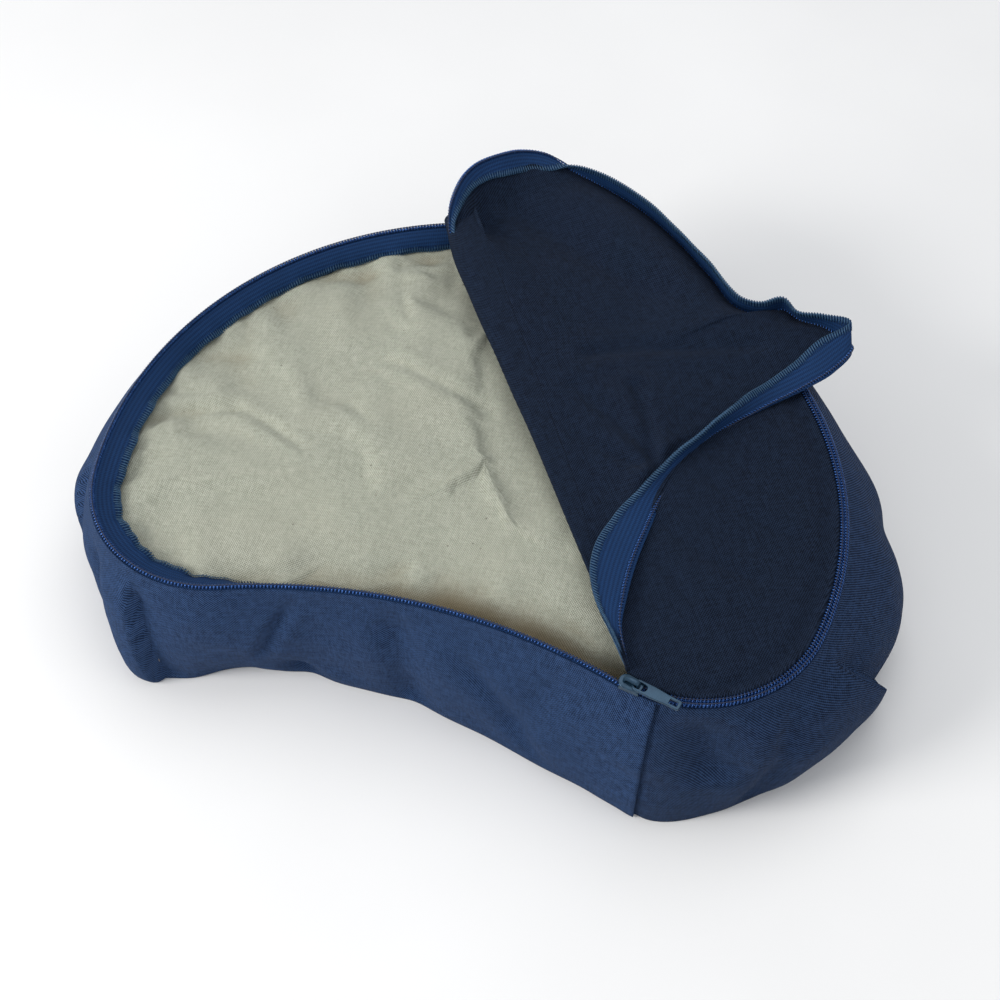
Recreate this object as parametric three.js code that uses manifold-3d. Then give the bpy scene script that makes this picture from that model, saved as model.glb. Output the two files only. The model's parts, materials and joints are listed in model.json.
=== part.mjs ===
// Crescent-shaped support cushion with a zip that runs round its top edge. The zip is open round
// the left lobe and the loose part of the top panel is folded back over the right lobe, so the
// inner cushion shows. Millimetres, +Z up, the long axis along X, the hollow side of the crescent
// facing -Y. The object stands on Z = 0 with the middle of its bounding box on the Z axis.
import * as THREE from 'three';
import { mergeVertices } from 'three/addons/utils/BufferGeometryUtils.js';
import Module from 'manifold-3d';

const wasm = await Module();
wasm.setup();

// ---- Driving dimensions: the crescent that the zip follows ----
const ZIP_WIDTH = 450; // across both lobes
const ZIP_DEPTH = 339; // from the front of the lobes to the back of the crescent
const LOBE_RADIUS = 78;
const NOTCH_DEPTH = 25; // how far the hollow front runs in behind the front of the lobes
const RIM_HEIGHT = 105; // floor to the underside of the zip

// ---- Driving dimensions: cloth cover ----
const COVER_CLOTH = 1.2; // thickness of the twill
const BASE_SPREAD = 10; // how far the bottom panel reaches outside the zip line
const SIDE_BULGE = 17; // how far the side wall swells out at its fullest
const LEAN = 13; // how far the base has slumped towards +X
const TOP_CROWN = 7; // rise of the closed part of the top panel
const SIDE_SEAM_AT = 16; // zip length from the slider to the front side seam
const BACK_SEAM_AT = 520; // zip length from the slider to the back side seam

// ---- Driving dimensions: inner cushion ----
const CASE_CLOTH = 1.0;
const CASE_GAP = 3; // between the side wall and the inner cushion
const CASE_EDGE_DROP = 18; // how far the inner cushion's top edge lies below the rim
const CASE_TOP_DROP = 3.5; // how far its crown lies below the rim

// ---- Driving dimensions: zip ----
const TAPE_WIDTH = 13;
const TAPE_THICKNESS = 0.6;
const COIL_WIDTH = 2.3; // one side of the chain
const COIL_HEIGHT = 2.2;
const CHAIN_SLOT = 2; // between the two coils, where the slider's post runs
const SLIDER_LENGTH = 13;
const SLIDER_WALL = 1.0;
const SLIDER_PLATE = 1.5;
const SLIDER_POST = 0.7;
const SLIDER_ANGLE = -105; // degrees round the right lobe's centre
const BRIDGE_WIDTH = 3;
const BRIDGE_HEIGHT = 3.6;
const BRIDGE_LENGTH = 9;
const PULLER_LENGTH = 29;
const PULLER_WIDTH = 7;
const PULLER_THICKNESS = 1.4;
const PULLER_SLOT_WIDTH = 3.4; // slot near the puller's tip
const PULLER_SLOT_LENGTH = 4.8;
const STOP_LENGTH = 4;
const TAPE_SHOWN = 10; // width of the flap's tape beyond its seam

// ---- Driving dimensions: the folded-back part of the top panel ----
const FOLD_BACK_ANGLE = 107.5; // degrees round the back arc's centre, where the fold starts
const FLAP_GAP = 4; // between the closed top panel and the flap that lies on it
const FLAP_SPLIT = 105; // from the fold to where the flap's free end begins
const CURL_FROM = 0.7; // share of the way from the fold to the edge where the flap starts to curl up
const GAP = 0.3; // between pieces that touch
const CLEARANCE = 0.5; // between pieces that slide

// Free edge of the flap from the back end of the fold to its front end, as the cloth has fallen:
// X in halves of the zip's width from the middle, Y in zip depths from the front of the lobes, and
// Z in millimetres from the rim.
const FLAP_EDGE = [
  [-0.338, 1.003, 22], [-0.276, 1.074, 32], [-0.16, 1.13, 27], [0, 1.153, 16], [0.204, 1.124, 12],
  [0.431, 1.015, 11], [0.6, 0.914, 13], [0.756, 0.897, 18], [0.902, 0.858, 20], [0.924, 0.817, 13],
  [0.844, 0.752, 8], [0.662, 0.628, 6.5], [0.56, 0.499, 6.5], [0.471, 0.354, 6.5],
  [0.431, 0.218, 6.5], [0.462, 0.13, 6],
];

const AROUND = 90; // steps round the crescent
const FLAP_STEPS = 34; // steps along the flap's edge
const PANEL_STEPS = 8; // steps across the flap
const TAPE_STEPS = 2; // steps across the flap's tape and coil
const FOLD_CROWD = 0.15; // share of the fold that the flap's two ends may crowd onto
const FLAP_LEAST_SHARE = 0.3; // where the flap is narrowest, share of its width left to the panel
const MERGE = 1e-4; // vertices closer than this are one
const radians = THREE.MathUtils.degToRad;

// ---- The crescent as four tangent arcs ----
const lobeX = ZIP_WIDTH / 2 - LOBE_RADIUS;
const backTop = ZIP_DEPTH - LOBE_RADIUS;
const backRise = backTop - LOBE_RADIUS;
const backY = (backRise ** 2 - lobeX ** 2) / (2 * backRise);
const backRadius = backTop - backY;
const notchY = NOTCH_DEPTH - LOBE_RADIUS;
const frontRadius = (lobeX ** 2 + notchY ** 2 - LOBE_RADIUS ** 2) / (2 * (LOBE_RADIUS + notchY));
const frontY = notchY - frontRadius;
const backTurn = Math.atan2(-backY, lobeX); // direction from the back centre to the right lobe
const frontTurn = Math.atan2(frontY, -lobeX); // direction from the right lobe to the front centre
const slideStart = radians(SLIDER_ANGLE);
const lobe = { y: 0, radius: LOBE_RADIUS, side: 1 }; // side is -1 where the outline is hollow
const arcs = [
  { ...lobe, x: lobeX, from: slideStart, to: backTurn },
  { x: 0, y: backY, radius: backRadius, side: 1, from: backTurn, to: Math.PI - backTurn },
  { ...lobe, x: -lobeX, from: Math.PI - backTurn, to: Math.PI - frontTurn },
  { x: 0, y: frontY, radius: frontRadius, side: -1, from: -frontTurn, to: Math.PI + frontTurn },
  { ...lobe, x: lobeX, from: frontTurn, to: slideStart },
];
for (const arc of arcs) arc.length = Math.abs(arc.to - arc.from) * arc.radius;
const zipLength = arcs.reduce((sum, arc) => sum + arc.length, 0);

// Point on the zip line at a length from the slider, counter-clockwise, moved outwards by offset.
function zipPoint(length, offset = 0, z = 0) {
  let rest = THREE.MathUtils.euclideanModulo(length, zipLength);
  let arc = arcs[0];
  for (arc of arcs) {
    if (rest <= arc.length) break;
    rest -= arc.length;
  }
  const angle = THREE.MathUtils.lerp(arc.from, arc.to, Math.min(rest / arc.length, 1));
  const radius = arc.radius + offset * arc.side;
  return new THREE.Vector3(arc.x + radius * Math.cos(angle), arc.y + radius * Math.sin(angle), z);
}

// Lengths at which every piece along the zip has a corner, so that neighbours stay parallel.
function stations(from, to) {
  const step = zipLength / AROUND;
  const lengths = [from];
  for (let i = Math.floor(from / step) + 1; i * step < to; i += 1) {
    if (i * step > from + CLEARANCE && i * step < to - CLEARANCE) lengths.push(i * step);
  }
  return [...lengths, to];
}

const foldAngle = radians(FOLD_BACK_ANGLE);
const foldLength = arcs[0].length + (foldAngle - backTurn) * backRadius;

// ---- Building closed bodies ----
// Skins closed cross-sections in order. The ends are left to meet each other, or are capped:
// with a fan from the middle for a broad section, or rung by rung for a thin strip.
function skin(sections, ends = 'rungs') {
  const count = sections[0].length;
  const points = sections.flat();
  const faces = [];
  const runs = ends === 'meet' ? sections.length : sections.length - 1;
  for (let i = 0; i < runs; i += 1) {
    const next = (i + 1) % sections.length;
    for (let j = 0; j < count; j += 1) {
      const k = (j + 1) % count;
      const [a, b] = [i * count + j, i * count + k];
      const [c, d] = [next * count + j, next * count + k];
      faces.push(a, b, d, a, d, c);
    }
  }
  if (ends === 'fan') {
    for (const row of [0, sections.length - 1]) {
      const middle = new THREE.Vector3();
      for (const point of sections[row]) middle.addScaledVector(point, 1 / count);
      points.push(middle);
      for (let j = 0; j < count; j += 1) {
        const corners = [row * count + j, row * count + ((j + 1) % count), points.length - 1];
        faces.push(...(row === 0 ? corners.reverse() : corners));
      }
    }
  }
  if (ends === 'rungs') {
    for (const row of [0, sections.length - 1]) {
      for (let j = 0; j < count / 2 - 1; j += 1) {
        const [a, b] = [row * count + j, row * count + j + 1];
        const [c, d] = [row * count + count - 1 - j, row * count + count - 2 - j];
        faces.push(...(row === 0 ? [b, a, c, d, b, c] : [a, b, c, b, d, c]));
      }
    }
  }
  const geometry = new THREE.BufferGeometry().setFromPoints(points);
  geometry.setIndex(faces);
  return outward(geometry);
}

// Turns the faces of a closed body outwards.
function outward(geometry) {
  const position = geometry.getAttribute('position');
  const index = geometry.getIndex();
  const [a, b, c] = [new THREE.Vector3(), new THREE.Vector3(), new THREE.Vector3()];
  let volume = 0;
  for (let i = 0; i < index.count; i += 3) {
    a.fromBufferAttribute(position, index.getX(i));
    b.fromBufferAttribute(position, index.getX(i + 1));
    c.fromBufferAttribute(position, index.getX(i + 2));
    volume += a.dot(b.cross(c));
  }
  if (volume < 0) {
    for (let i = 0; i < index.count; i += 3) {
      const first = index.getX(i);
      index.setX(i, index.getX(i + 2));
      index.setX(i + 2, first);
    }
  }
  return geometry;
}

function toSolid(geometry) {
  const clean = geometry.clone();
  clean.deleteAttribute('normal');
  clean.deleteAttribute('uv');
  const merged = mergeVertices(clean, MERGE);
  return new wasm.Manifold(new wasm.Mesh({
    numProp: 3,
    vertProperties: new Float32Array(merged.getAttribute('position').array),
    triVerts: new Uint32Array(merged.getIndex().array),
  }));
}

function toGeometry(solid) {
  const mesh = solid.getMesh();
  const geometry = new THREE.BufferGeometry();
  const places = new Float32Array(mesh.vertProperties);
  geometry.setAttribute('position', new THREE.BufferAttribute(places, 3));
  geometry.setIndex(new THREE.BufferAttribute(new Uint32Array(mesh.triVerts), 1));
  return geometry;
}

// A box laid along the fold: along it from the back end, across it towards the right lobe.
function foldBox(alongFrom, alongTo, acrossFrom, acrossTo) {
  const box = new THREE.BoxGeometry(alongTo - alongFrom, acrossTo - acrossFrom, FAR);
  box.translate((alongFrom + alongTo) / 2, (acrossFrom + acrossTo) / 2, RIM_HEIGHT);
  return box.applyMatrix4(foldFrame);
}

function keepInside(geometry, box) {
  return toGeometry(toSolid(geometry).intersect(toSolid(box)));
}

// ---- Levels ----
const rim = RIM_HEIGHT;
const tapeEdge = CHAIN_SLOT / 2; // where both tapes and both coils start, off the zip line
const coilOuter = tapeEdge + COIL_WIDTH;
const gussetInner = tapeEdge + TAPE_THICKNESS + CLEARANCE;
const sliderInner = coilOuter + CLEARANCE + GAP;
const sliderOuter = sliderInner + SLIDER_WALL;
const panelEdge = -(sliderOuter + GAP); // outer edge of the top panel, inside the slider's path
const coilTop = rim + COIL_HEIGHT;
const plateBottom = coilTop + CLEARANCE;
const plateTop = plateBottom + SLIDER_PLATE;
const tapeTop = rim - GAP;
const panelBottom = rim + GAP;

// ---- Fold frame: X along the fold from its back end, Y across it towards the right lobe ----
const foldBack = zipPoint(foldLength, 0, 0);
const foldFront = zipPoint(-SLIDER_LENGTH / 2, panelEdge - CLEARANCE, 0);
const foldAlong = foldFront.clone().sub(foldBack).normalize();
const foldAcross = new THREE.Vector3(-foldAlong.y, foldAlong.x, 0);
const foldFrame = new THREE.Matrix4()
  .makeBasis(foldAlong, foldAcross, new THREE.Vector3(0, 0, 1))
  .setPosition(foldBack);
const FAR = 2 * (ZIP_WIDTH + ZIP_DEPTH);

// ---- Surfaces ----
// Point on the side wall's inner face, moved outwards, at a share of the height up to the rim.
function wallPoint(length, share, out) {
  const spread = BASE_SPREAD * (1 - share) + SIDE_BULGE * Math.sin(Math.PI * share);
  const z = THREE.MathUtils.lerp(COVER_CLOTH + GAP, tapeTop, share);
  const point = zipPoint(length, gussetInner + spread + out, z);
  point.x += LEAN * (1 - share);
  return point;
}

function wallRing(share, out) {
  return Array.from({ length: AROUND }, (_, i) => wallPoint((i / AROUND) * zipLength, share, out));
}

// Ring of a dome over the zip outline, share 1 at the edge and 0 at the middle.
const domeCentre = new THREE.Vector3(0, (backTop - LOBE_RADIUS) / 3, 0);
function domeRing(edgeRing, share, edgeZ, crown) {
  return edgeRing.map((point) => {
    const moved = domeCentre.clone().lerp(point, share);
    moved.z = edgeZ + crown * (1 - share ** 2);
    return moved;
  });
}

const domeShares = [0.02, 0.4, 0.7, 0.9, 1];

function domeShell(edgeRing, edgeZ, crown, thickness) {
  const upper = domeShares.map((share) => domeRing(edgeRing, share, edgeZ + thickness, crown));
  const lower = domeShares.map((share) => domeRing(edgeRing, share, edgeZ, crown)).reverse();
  return skin([...upper, ...lower], 'fan');
}

// Share of the way from the dome's middle to the panel's edge at a point in plan.
function domeShare(x, y, ring) {
  const ray = new THREE.Vector2(x - domeCentre.x, y - domeCentre.y);
  for (let i = 0; i < ring.length; i += 1) {
    const a = ring[i];
    const b = ring[(i + 1) % ring.length];
    const [ax, ay] = [a.x - domeCentre.x, a.y - domeCentre.y];
    const [ex, ey] = [b.x - a.x, b.y - a.y];
    const cross = ray.x * ey - ray.y * ex;
    const along = (ax * ey - ay * ex) / cross;
    const across = (ax * ray.y - ay * ray.x) / cross;
    if (along > 0 && across >= 0 && across <= 1) return 1 / along;
  }
  return 0;
}

// ---- Cloth cover ----
function coverBottom() {
  const edge = wallRing(0, COVER_CLOTH);
  return skin([0, COVER_CLOTH].map((z) => edge.map((point) => point.clone().setZ(z))), 'fan');
}

const wallShares = [0, 0.16, 0.38, 0.62, 0.84, 1];

// One piece of the side wall between two lengths along the zip.
function coverSide(from, to) {
  const sections = stations(from, to).map((length) => {
    const inner = wallShares.map((share) => wallPoint(length, share, 0));
    const outer = wallShares.map((share) => wallPoint(length, share, COVER_CLOTH));
    return [...inner, ...outer.reverse()];
  });
  return skin(sections);
}

function outlineRing(offset) {
  return Array.from({ length: AROUND }, (_, i) => zipPoint((i / AROUND) * zipLength, offset));
}

const panelRing = outlineRing(panelEdge);

function coverTop() {
  const whole = domeShell(panelRing, panelBottom, TOP_CROWN, COVER_CLOTH);
  return keepInside(whole, foldBox(-FAR, FAR, GAP, FAR));
}

// ---- Folded-back part of the top panel ----
function supportHeight(x, y) {
  const share = domeShare(x, y, panelRing);
  return panelBottom + COVER_CLOTH + TOP_CROWN * Math.max(0, 1 - share ** 2);
}

const flapEdgeCurve = new THREE.CatmullRomCurve3([
  new THREE.Vector3(foldBack.x, foldBack.y, rim + FLAP_GAP + COVER_CLOTH),
  ...FLAP_EDGE.map(([across, deep, up]) => new THREE.Vector3(
    (across * ZIP_WIDTH) / 2, deep * ZIP_DEPTH - LOBE_RADIUS, rim + up,
  )),
  new THREE.Vector3(foldFront.x, foldFront.y, rim + FLAP_GAP + COVER_CLOTH),
]);

// The place on the fold that is square across from a place along the edge, kept in order.
function foldPoint(along) {
  const span = foldFront.distanceTo(foldBack);
  const square = flapEdgeCurve.getPointAt(along).sub(foldBack).dot(foldAlong) / span;
  const share = THREE.MathUtils.clamp(square, FOLD_CROWD * along, 1 - FOLD_CROWD * (1 - along));
  return foldBack.clone().lerp(foldFront, share);
}

// Point of the flap's underside: along its edge from back to front, out from the fold to the edge.
function flapPoint(along, out, lift) {
  const edge = flapEdgeCurve.getPointAt(along);
  const point = foldPoint(along).lerp(edge, out);
  const lying = supportHeight(point.x, point.y) + FLAP_GAP;
  const curl = Math.max(0, edge.z - lying) * THREE.MathUtils.smoothstep(out, CURL_FROM, 1);
  point.z = lying + curl + lift;
  return point;
}

// Slab on the flap's surface between two distances in from its free edge, null being the fold.
function flapSlab(inFrom, inTo, lift, thickness, steps) {
  const sections = [];
  for (let i = 1; i < FLAP_STEPS; i += 1) {
    const along = i / FLAP_STEPS;
    const reach = flapEdgeCurve.getPointAt(along).setZ(0).distanceTo(foldPoint(along).setZ(0));
    const outFrom = inFrom === null ? 0 : Math.max(1 - inFrom / reach, FLAP_LEAST_SHARE);
    const outTo = Math.max(1 - inTo / reach, FLAP_LEAST_SHARE / 2);
    const outs = Array.from(
      { length: steps + 1 }, (_, j) => THREE.MathUtils.lerp(outFrom, outTo, j / steps),
    );
    const lower = outs.map((out) => flapPoint(along, out, lift));
    const upper = outs.map((out) => flapPoint(along, out, lift + thickness)).reverse();
    sections.push([...lower, ...upper]);
  }
  return skin(sections);
}

// ---- Inner cushion ----
const caseShares = [0.06, 0.16, 0.38, 0.62, 0.84];
const caseEdgeZ = rim - CASE_EDGE_DROP;
const caseCrown = CASE_EDGE_DROP - CASE_TOP_DROP - CASE_CLOTH;
const caseTopRing = wallRing(1, -2 * CASE_GAP - CASE_CLOTH - GAP);

function caseSide() {
  const outer = caseShares.map((share) => wallRing(share, -CASE_GAP));
  const inner = caseShares.map((share) => wallRing(share, -CASE_GAP - CASE_CLOTH)).reverse();
  return skin([...outer, ...inner], 'meet');
}

function caseBottom() {
  const edge = wallRing(caseShares[0], -CASE_GAP);
  const top = edge[0].z - GAP;
  return skin([top - CASE_CLOTH, top].map((z) => edge.map((point) => point.clone().setZ(z))), 'fan');
}

function fillCore() {
  const sides = caseShares.map((share) => wallRing(share, -CASE_GAP - CASE_CLOTH - GAP));
  const domes = [...domeShares].reverse()
    .map((share) => domeRing(caseTopRing, share, caseEdgeZ - GAP, caseCrown));
  return skin([...sides, ...domes], 'fan');
}

// ---- Zip ----
// Bar of four-cornered section that follows the zip line.
function zipBar(from, to, offsetFrom, offsetTo, bottom, top) {
  return skin(stations(from, to).map((length) => [
    zipPoint(length, offsetFrom, bottom), zipPoint(length, offsetTo, bottom),
    zipPoint(length, offsetTo, top), zipPoint(length, offsetFrom, top),
  ]));
}

const zipStart = foldLength - STOP_LENGTH; // end of the closed stretch, under the flap
const zipOpenEnd = zipLength - SLIDER_LENGTH / 2;

function box(sizeX, sizeY, sizeZ, x, y, z) {
  return new THREE.BoxGeometry(sizeX, sizeY, sizeZ).translate(x, y, z);
}

function join(...parts) {
  return toGeometry(parts.map(toSolid).reduce((sum, part) => sum.add(part)));
}

// The slider is built with X along the zip, from its mouth to its tail, and Y inwards.
function sliderBody() {
  const plate = box(
    SLIDER_LENGTH, 2 * sliderOuter, SLIDER_PLATE,
    0, 0, plateBottom + SLIDER_PLATE / 2,
  );
  const flangeBottom = rim + GAP;
  const flangeHeight = plateBottom + GAP - flangeBottom;
  const flanges = [-1, 1].map((side) => box(
    SLIDER_LENGTH, SLIDER_WALL, flangeHeight,
    0, side * (sliderOuter - SLIDER_WALL / 2), flangeBottom + flangeHeight / 2,
  ));
  const wingTop = rim - 2 * GAP - TAPE_THICKNESS - CLEARANCE;
  const wingWidth = sliderOuter + SLIDER_POST / 2;
  const wing = box(
    SLIDER_LENGTH, wingWidth, SLIDER_PLATE,
    0, (sliderOuter - SLIDER_POST / 2) / 2, wingTop - SLIDER_PLATE / 2,
  );
  const postHeight = plateBottom - wingTop + 2 * GAP;
  const post = box(
    SLIDER_LENGTH / 4, SLIDER_POST, postHeight,
    -SLIDER_LENGTH / 8, 0, wingTop - GAP + postHeight / 2,
  );
  return join(plate, ...flanges, wing, post);
}

const pinX = SLIDER_LENGTH / 8;
const pinRadius = PULLER_THICKNESS / 2;
const pinZ = plateTop + CLEARANCE + pinRadius;
const bridgeTop = plateTop + GAP + BRIDGE_HEIGHT;
const bridgeBar = bridgeTop - pinZ - pinRadius - CLEARANCE;

function sliderBridge() {
  const legHeight = bridgeTop - plateTop - GAP;
  const legs = [-1, 1].map((end) => box(
    SLIDER_WALL, BRIDGE_WIDTH, legHeight,
    end * (BRIDGE_LENGTH - SLIDER_WALL) / 2, 0, plateTop + GAP + legHeight / 2,
  ));
  const bar = box(BRIDGE_LENGTH, BRIDGE_WIDTH, bridgeBar, 0, 0, bridgeTop - bridgeBar / 2);
  return join(bar, ...legs);
}

// The puller is built about its own pin, lying flat towards the slider's tail.
function puller() {
  const outline = new THREE.Shape();
  const half = PULLER_WIDTH / 2;
  const back = -pinRadius;
  outline.moveTo(back, -half);
  outline.lineTo(PULLER_LENGTH - half, -half);
  outline.absarc(PULLER_LENGTH - half, 0, half, -Math.PI / 2, Math.PI / 2, false);
  outline.lineTo(back, half);
  outline.closePath();
  const eyeHalf = BRIDGE_WIDTH / 2 + CLEARANCE;
  const eyeEnd = BRIDGE_LENGTH / 2 + pinX + 2 * CLEARANCE + BRIDGE_HEIGHT / 4;
  outline.holes.push(slot(pinRadius, eyeEnd, eyeHalf));
  const slotEnd = PULLER_LENGTH - PULLER_SLOT_WIDTH;
  outline.holes.push(slot(slotEnd - PULLER_SLOT_LENGTH, slotEnd, PULLER_SLOT_WIDTH / 2));
  const plate = new THREE.ExtrudeGeometry(outline, {
    depth: PULLER_THICKNESS, bevelEnabled: false, curveSegments: 8,
  });
  return plate.translate(0, 0, -PULLER_THICKNESS / 2);
}

function slot(fromX, toX, half) {
  const hole = new THREE.Path();
  hole.moveTo(fromX, -half);
  hole.lineTo(fromX, half);
  hole.lineTo(toX, half);
  hole.lineTo(toX, -half);
  hole.closePath();
  return hole;
}

// ---- Materials ----
const twill = new THREE.MeshStandardMaterial({ color: 0x26365a, roughness: 0.9, metalness: 0 });
const calico = new THREE.MeshStandardMaterial({ color: 0xbab79f, roughness: 0.95, metalness: 0 });
const hulls = new THREE.MeshStandardMaterial({ color: 0x4a3a2c, roughness: 0.8, metalness: 0 });
const tape = new THREE.MeshStandardMaterial({ color: 0x27508c, roughness: 0.85, metalness: 0 });
const coil = new THREE.MeshStandardMaterial({ color: 0x1d2f5e, roughness: 0.45, metalness: 0 });
const enamel = new THREE.MeshStandardMaterial({ color: 0x3f6078, roughness: 0.4, metalness: 0.3 });

// ---- Assembly ----
const cushion = new THREE.Group();

function place(name, geometry, material, parent = cushion) {
  const mesh = new THREE.Mesh(geometry, material);
  mesh.name = name;
  parent.add(mesh);
  return mesh;
}

place('cover_bottom', coverBottom(), twill);
place('cover_side_right', coverSide(SIDE_SEAM_AT + GAP, BACK_SEAM_AT - GAP), twill);
place('cover_side_left', coverSide(BACK_SEAM_AT, zipLength + SIDE_SEAM_AT), twill);
place('cover_top_closed', coverTop(), twill);

place('inner_case_bottom', caseBottom(), calico);
place('inner_case_side', caseSide(), calico);
place('inner_case_top', domeShell(caseTopRing, caseEdgeZ, caseCrown, CASE_CLOTH), calico);
place('hull_filling', fillCore(), hulls);

const openFrom = foldLength; // the zip's open stretch starts at the fold and ends at the slider
const sideTape = [tapeEdge, tapeEdge + TAPE_THICKNESS, tapeTop - TAPE_WIDTH, tapeTop];
const topTape = [-tapeEdge - TAPE_WIDTH, -tapeEdge, tapeTop - TAPE_THICKNESS, tapeTop];
const sideCoil = [tapeEdge, coilOuter, rim, coilTop];
const topCoil = [-coilOuter, -tapeEdge, rim, coilTop];
place('zip_tape_side', zipBar(openFrom + GAP, openFrom + zipLength - GAP, ...sideTape), tape);
place('zip_tape_top_closed', zipBar(SLIDER_LENGTH / 2, zipStart, ...topTape), tape);
place('zip_coil_side_open', zipBar(openFrom + STOP_LENGTH, zipOpenEnd, ...sideCoil), coil);
place('zip_coil_side_closed', zipBar(zipOpenEnd - zipLength + GAP, zipStart, ...sideCoil), coil);
place('zip_coil_top_closed', zipBar(0, zipStart, ...topCoil), coil);

const stopTop = coilTop + GAP;
const bottomStop = zipBar(zipStart + GAP, openFrom - GAP, -coilOuter, coilOuter, rim, stopTop);
const topStop = zipBar(openFrom, openFrom + STOP_LENGTH - GAP, tapeEdge, coilOuter, rim, stopTop);
place('zip_bottom_stop', bottomStop, enamel);
place('zip_top_stop_side', topStop, enamel);

const nearFold = [GAP, FLAP_SPLIT];
const panelSolid = flapSlab(null, TAPE_SHOWN + CLEARANCE, 0, COVER_CLOTH, PANEL_STEPS);
const tapeSolid = flapSlab(TAPE_SHOWN, 0, 0, TAPE_THICKNESS, TAPE_STEPS);
const coilLift = TAPE_THICKNESS + 2 * CLEARANCE;
const coilSolid = flapSlab(COIL_WIDTH, 0, coilLift, COIL_HEIGHT, TAPE_STEPS);
const foldMiddle = foldFront.distanceTo(foldBack) / 2;
const backStretch = foldBox(-FAR, foldMiddle, ...nearFold);
const frontStretch = foldBox(foldMiddle, FAR, ...nearFold);
const freeEnd = foldBox(-FAR, FAR, FLAP_SPLIT + GAP, FAR);

place('cover_flap', keepInside(panelSolid, foldBox(-FAR, FAR, ...nearFold)), twill);
place('cover_flap_end', keepInside(panelSolid, freeEnd), twill);
place('zip_tape_flap_back', keepInside(tapeSolid, backStretch), tape);
place('zip_tape_flap_front', keepInside(tapeSolid, frontStretch), tape);
place('zip_tape_flap_end', keepInside(tapeSolid, freeEnd), tape);
place('zip_coil_flap_back', keepInside(coilSolid, backStretch), coil);
place('zip_coil_flap_front', keepInside(coilSolid, frontStretch), coil);
place('zip_coil_flap_end', keepInside(coilSolid, freeEnd), coil);

const slider = new THREE.Group();
slider.position.copy(zipPoint(0));
slider.rotation.z = slideStart + Math.PI / 2;
cushion.add(slider);
place('zip_slider', sliderBody(), enamel, slider);
place('zip_slider_bridge', sliderBridge(), enamel, slider);
const pullerMesh = place('zip_puller', puller(), enamel, slider);
pullerMesh.position.set(pinX, 0, pinZ);

// The object stands with the middle of its bounding box on the Z axis.
const bounds = new THREE.Box3().setFromObject(cushion);
const middle = bounds.getCenter(new THREE.Vector3());
cushion.position.set(-middle.x, -middle.y, 0);

export default cushion;
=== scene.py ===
"""Crescent support cushion: a navy twill cover, unzipped and folded back over the right lobe, with
the calico inner cushion showing. Metres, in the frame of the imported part: +Z up, the hollow side of
the crescent facing -Y. Cloth surfaces are grids of points that follow the zip line or the fold."""
import json
import math

import bpy
import numpy as np
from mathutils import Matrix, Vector


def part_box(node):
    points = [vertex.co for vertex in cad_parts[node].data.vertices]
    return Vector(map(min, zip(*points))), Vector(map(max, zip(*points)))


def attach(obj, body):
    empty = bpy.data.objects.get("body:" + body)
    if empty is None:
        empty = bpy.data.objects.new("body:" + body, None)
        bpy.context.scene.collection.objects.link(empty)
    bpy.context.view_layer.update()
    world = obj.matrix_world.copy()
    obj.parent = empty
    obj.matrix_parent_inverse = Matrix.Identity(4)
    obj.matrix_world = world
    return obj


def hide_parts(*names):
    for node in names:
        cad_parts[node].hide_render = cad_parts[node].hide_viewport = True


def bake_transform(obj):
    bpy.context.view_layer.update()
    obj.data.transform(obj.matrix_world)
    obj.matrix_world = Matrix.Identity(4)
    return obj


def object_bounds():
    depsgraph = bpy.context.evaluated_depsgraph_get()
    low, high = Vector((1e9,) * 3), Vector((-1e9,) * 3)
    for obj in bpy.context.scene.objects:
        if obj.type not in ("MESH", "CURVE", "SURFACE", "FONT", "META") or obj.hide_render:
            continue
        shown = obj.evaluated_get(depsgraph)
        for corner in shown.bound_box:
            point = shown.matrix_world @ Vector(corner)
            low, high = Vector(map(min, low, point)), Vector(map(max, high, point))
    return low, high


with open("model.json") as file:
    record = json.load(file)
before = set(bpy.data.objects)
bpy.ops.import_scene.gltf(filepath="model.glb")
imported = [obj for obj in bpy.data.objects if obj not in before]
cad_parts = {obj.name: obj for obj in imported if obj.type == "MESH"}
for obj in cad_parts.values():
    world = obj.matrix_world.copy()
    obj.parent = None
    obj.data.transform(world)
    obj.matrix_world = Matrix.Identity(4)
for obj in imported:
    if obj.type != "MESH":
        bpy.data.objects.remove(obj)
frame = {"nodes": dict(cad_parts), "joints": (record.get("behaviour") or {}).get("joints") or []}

cad_low, cad_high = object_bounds()

# ---- Sizes: the crescent that the zip follows ----
ZIP_WIDTH = 0.450
ZIP_DEPTH = 0.339
LOBE_RADIUS = 0.078
NOTCH_DEPTH = 0.025

# ---- Sizes: cloth ----
COVER_CLOTH = 0.0012
TAPE_CLOTH = 0.0006
WEAVE = 0.0017  # from one twill line to the next
CASE_WEAVE = 0.0015
TAPE_WEAVE = 0.0013
TAPE_LINES = 0.0026  # between the raised lines along a tape
TOP_CROWN = 0.009  # rise of the top panel over its edge
HEM = 0.0009  # from the coil to the turned edge of the cloth beside it
FLAP_GAP = 0.004  # between the closed top panel and the flap that lies on it
SIDE_SEAM_AT = 0.016  # zip length from the slider to the front side seam
BACK_SEAM_AT = 0.520

# ---- Sizes: zip ----
TAPE_WIDTH = 0.0145
COIL_PITCH = 0.0021
COIL_WIRE = 0.00048  # radius
COIL_HALF_HEIGHT = 0.0011
COIL_INNER = 0.0003  # from the zip line to the open coil
COIL_OUTER = 0.0037
COIL_SEAM = 0.00036  # radius of the thread that sews a coil down
BAND_UNDER = 0.17  # share of a tape's width that runs on under its coil
COIL_STEPS = 10  # points to a turn of the coil
SERGE_WIDTH = 0.0042  # how far the overlock stitches reach in from the edge
SERGE_PITCH = 0.0018
SERGE_THREAD = 0.00028  # radius

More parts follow.
